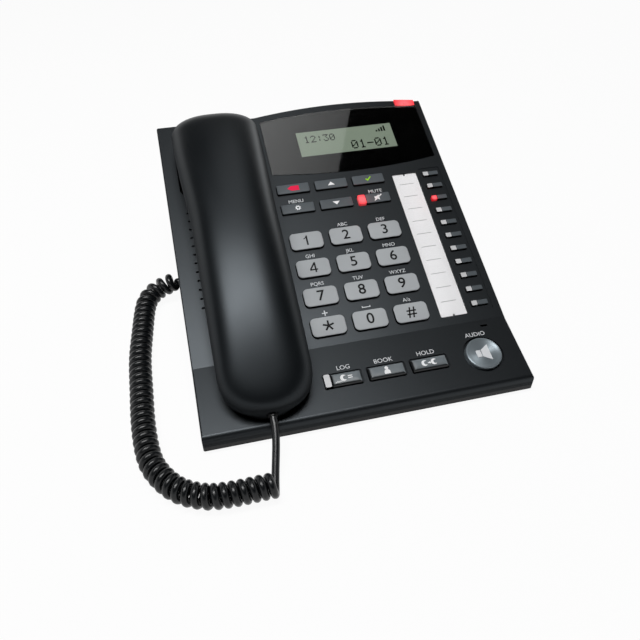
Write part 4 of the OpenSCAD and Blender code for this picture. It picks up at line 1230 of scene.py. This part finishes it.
FLOOR_R, BACKDROP_BEND, BACKDROP_H = 6.0, 1.5, 3.2
FLOOR_FLAT = 1.0
FLOOR_SIDES = 64
FLOOR_GREY = (0.8, 0.8, 0.8)
FLOOR_WHITE = 0.94


def make_floor():
    """Pale floor that curves up into a backdrop all round. The camera sees it white, with the object's
    shadow on it, and so do shiny and clear faces."""
    sweep = FLOOR_R - BACKDROP_BEND
    bend = arc(sweep, BACKDROP_BEND, BACKDROP_BEND, -90, 0)
    profile = [(0.001, 0), (FLOOR_FLAT, 0)] + bend + [(FLOOR_R, BACKDROP_H)]
    rings = [[(r * math.cos(a), r * math.sin(a), z) for a in round_turn(FLOOR_SIDES)] for r, z in profile]
    floor = shade_smooth(skin("floor", rings, closed_ends=False))
    material, tree, shader = blank_material("floor_paint")
    give(shader, Base_Color=(*FLOOR_GREY, 1), Roughness=0.9, Specular_IOR_Level=0.0)
    white = tree.nodes.new("ShaderNodeEmission")
    path = tree.nodes.new("ShaderNodeLightPath")
    seen = math_node(tree, "MAXIMUM", path.outputs["Is Camera Ray"], path.outputs["Is Glossy Ray"])
    seen = math_node(tree, "MAXIMUM", seen, path.outputs["Is Transmission Ray"])
    mix = tree.nodes.new("ShaderNodeMixShader")
    tree.links.new(math_node(tree, "MULTIPLY", seen, FLOOR_WHITE), mix.inputs[0])
    tree.links.new(shader.outputs[0], mix.inputs[1])
    tree.links.new(white.outputs[0], mix.inputs[2])
    give(tree.nodes["Material Output"], Surface=mix.outputs[0])
    floor.data.materials.append(material)


def lamp(name, kind, place, power, colour=(1, 1, 1)):
    data = bpy.data.lights.new(name, kind)
    data.energy = power
    data.color = colour
    light = bpy.data.objects.new(name, data)
    light.location = place
    light.visible_camera = False
    scene.collection.objects.link(light)
    return light


def flat_light(name, place, wide, tall, power):
    light = lamp(name, "AREA", place, power)
    light.data.shape = "RECTANGLE"
    light.data.size = wide
    light.data.size_y = tall
    return light


def side_card(name, place, target, wide, tall, power):
    """Flat light at one side, turned to a target."""
    light = flat_light(name, place, wide, tall, power)
    aim = Vector(target) - Vector(place)
    light.rotation_euler = aim.to_track_quat("-Z", "Y").to_euler()
    return light


def softbox(name, place, turn, wide, tall, power):
    """Flat light that looks straight down, turned about the upright axis."""
    light = flat_light(name, place, wide, tall, power)
    light.rotation_euler = (0, 0, math.radians(turn))
    return light


def fade_across(light, first, last):
    """Makes a flat light brighter at one side than at the other."""
    light.data.use_nodes = True
    tree = light.data.node_tree
    shape = tree.nodes.new("ShaderNodeNewGeometry")
    parts = give(tree.nodes.new("ShaderNodeSeparateXYZ"), Vector=shape.outputs["Parametric"])
    give(tree.nodes["Emission"], Strength=span_node(tree, parts.outputs["X"], 0, 1, first, last))


def keep_off(light, piece):
    """Keeps the bare image of a light out of one glossy piece, as a flag does in a studio."""
    flagged = bpy.data.collections.new(light.name + "_flag")
    flagged.objects.link(piece)
    flagged.collection_objects[0].light_linking.link_state = "EXCLUDE"
    light.light_linking.receiver_collection = flagged


GLOW_RED = (1.0, 0.05, 0.05)
GLOW_R = 0.002
WORLD_STRENGTH = 0.006


def glow(name, place, height, power):
    """Red light that a lit lens throws on the case around it, from a height over the deck."""
    light = lamp(name, "POINT", Vector(place) + DECK_UP * height * MM, power, GLOW_RED)
    light.data.shadow_soft_size = GLOW_R
    light.visible_glossy = False
    light.visible_transmission = False


def make_light():
    key = softbox("key_softbox", place=(-0.2, -0.07, 1.05), turn=0, wide=0.77, tall=0.23, power=10.2)
    keep_off(key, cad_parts["display_window"])
    card = softbox("window_card", place=(0.090, 0.374, 0.70), turn=-21.4, wide=0.24, tall=0.36, power=0.5)
    fade_across(card, first=1.0, last=0.35)
    side_card("flank_card", place=(0.75, 0.72, 0.30), target=(-0.05, 0.05, 0.06), wide=0.4, tall=0.6,
              power=1.0)
    glow("message_glow", MESSAGE_AT, height=5, power=0.006)
    glow("line_glow", lens_beside(*LINE_LENS), height=2.5, power=0.0004)
    glow("mute_glow", lens_beside(*MUTE_LENS), height=3, power=0.0015)
    world = bpy.data.worlds.new("studio")
    world.use_nodes = True
    give(world.node_tree.nodes["Background"], Color=(1, 1, 1, 1), Strength=WORLD_STRENGTH)
    scene.world = world


make_camera()
make_cord()
make_handset()
make_ear_well_shade()
make_display()
dress_nodes()
make_key_caps()
make_speaker_key()
make_key_prints()
make_panel_prints()
make_card_lines()
make_floor()
make_light()
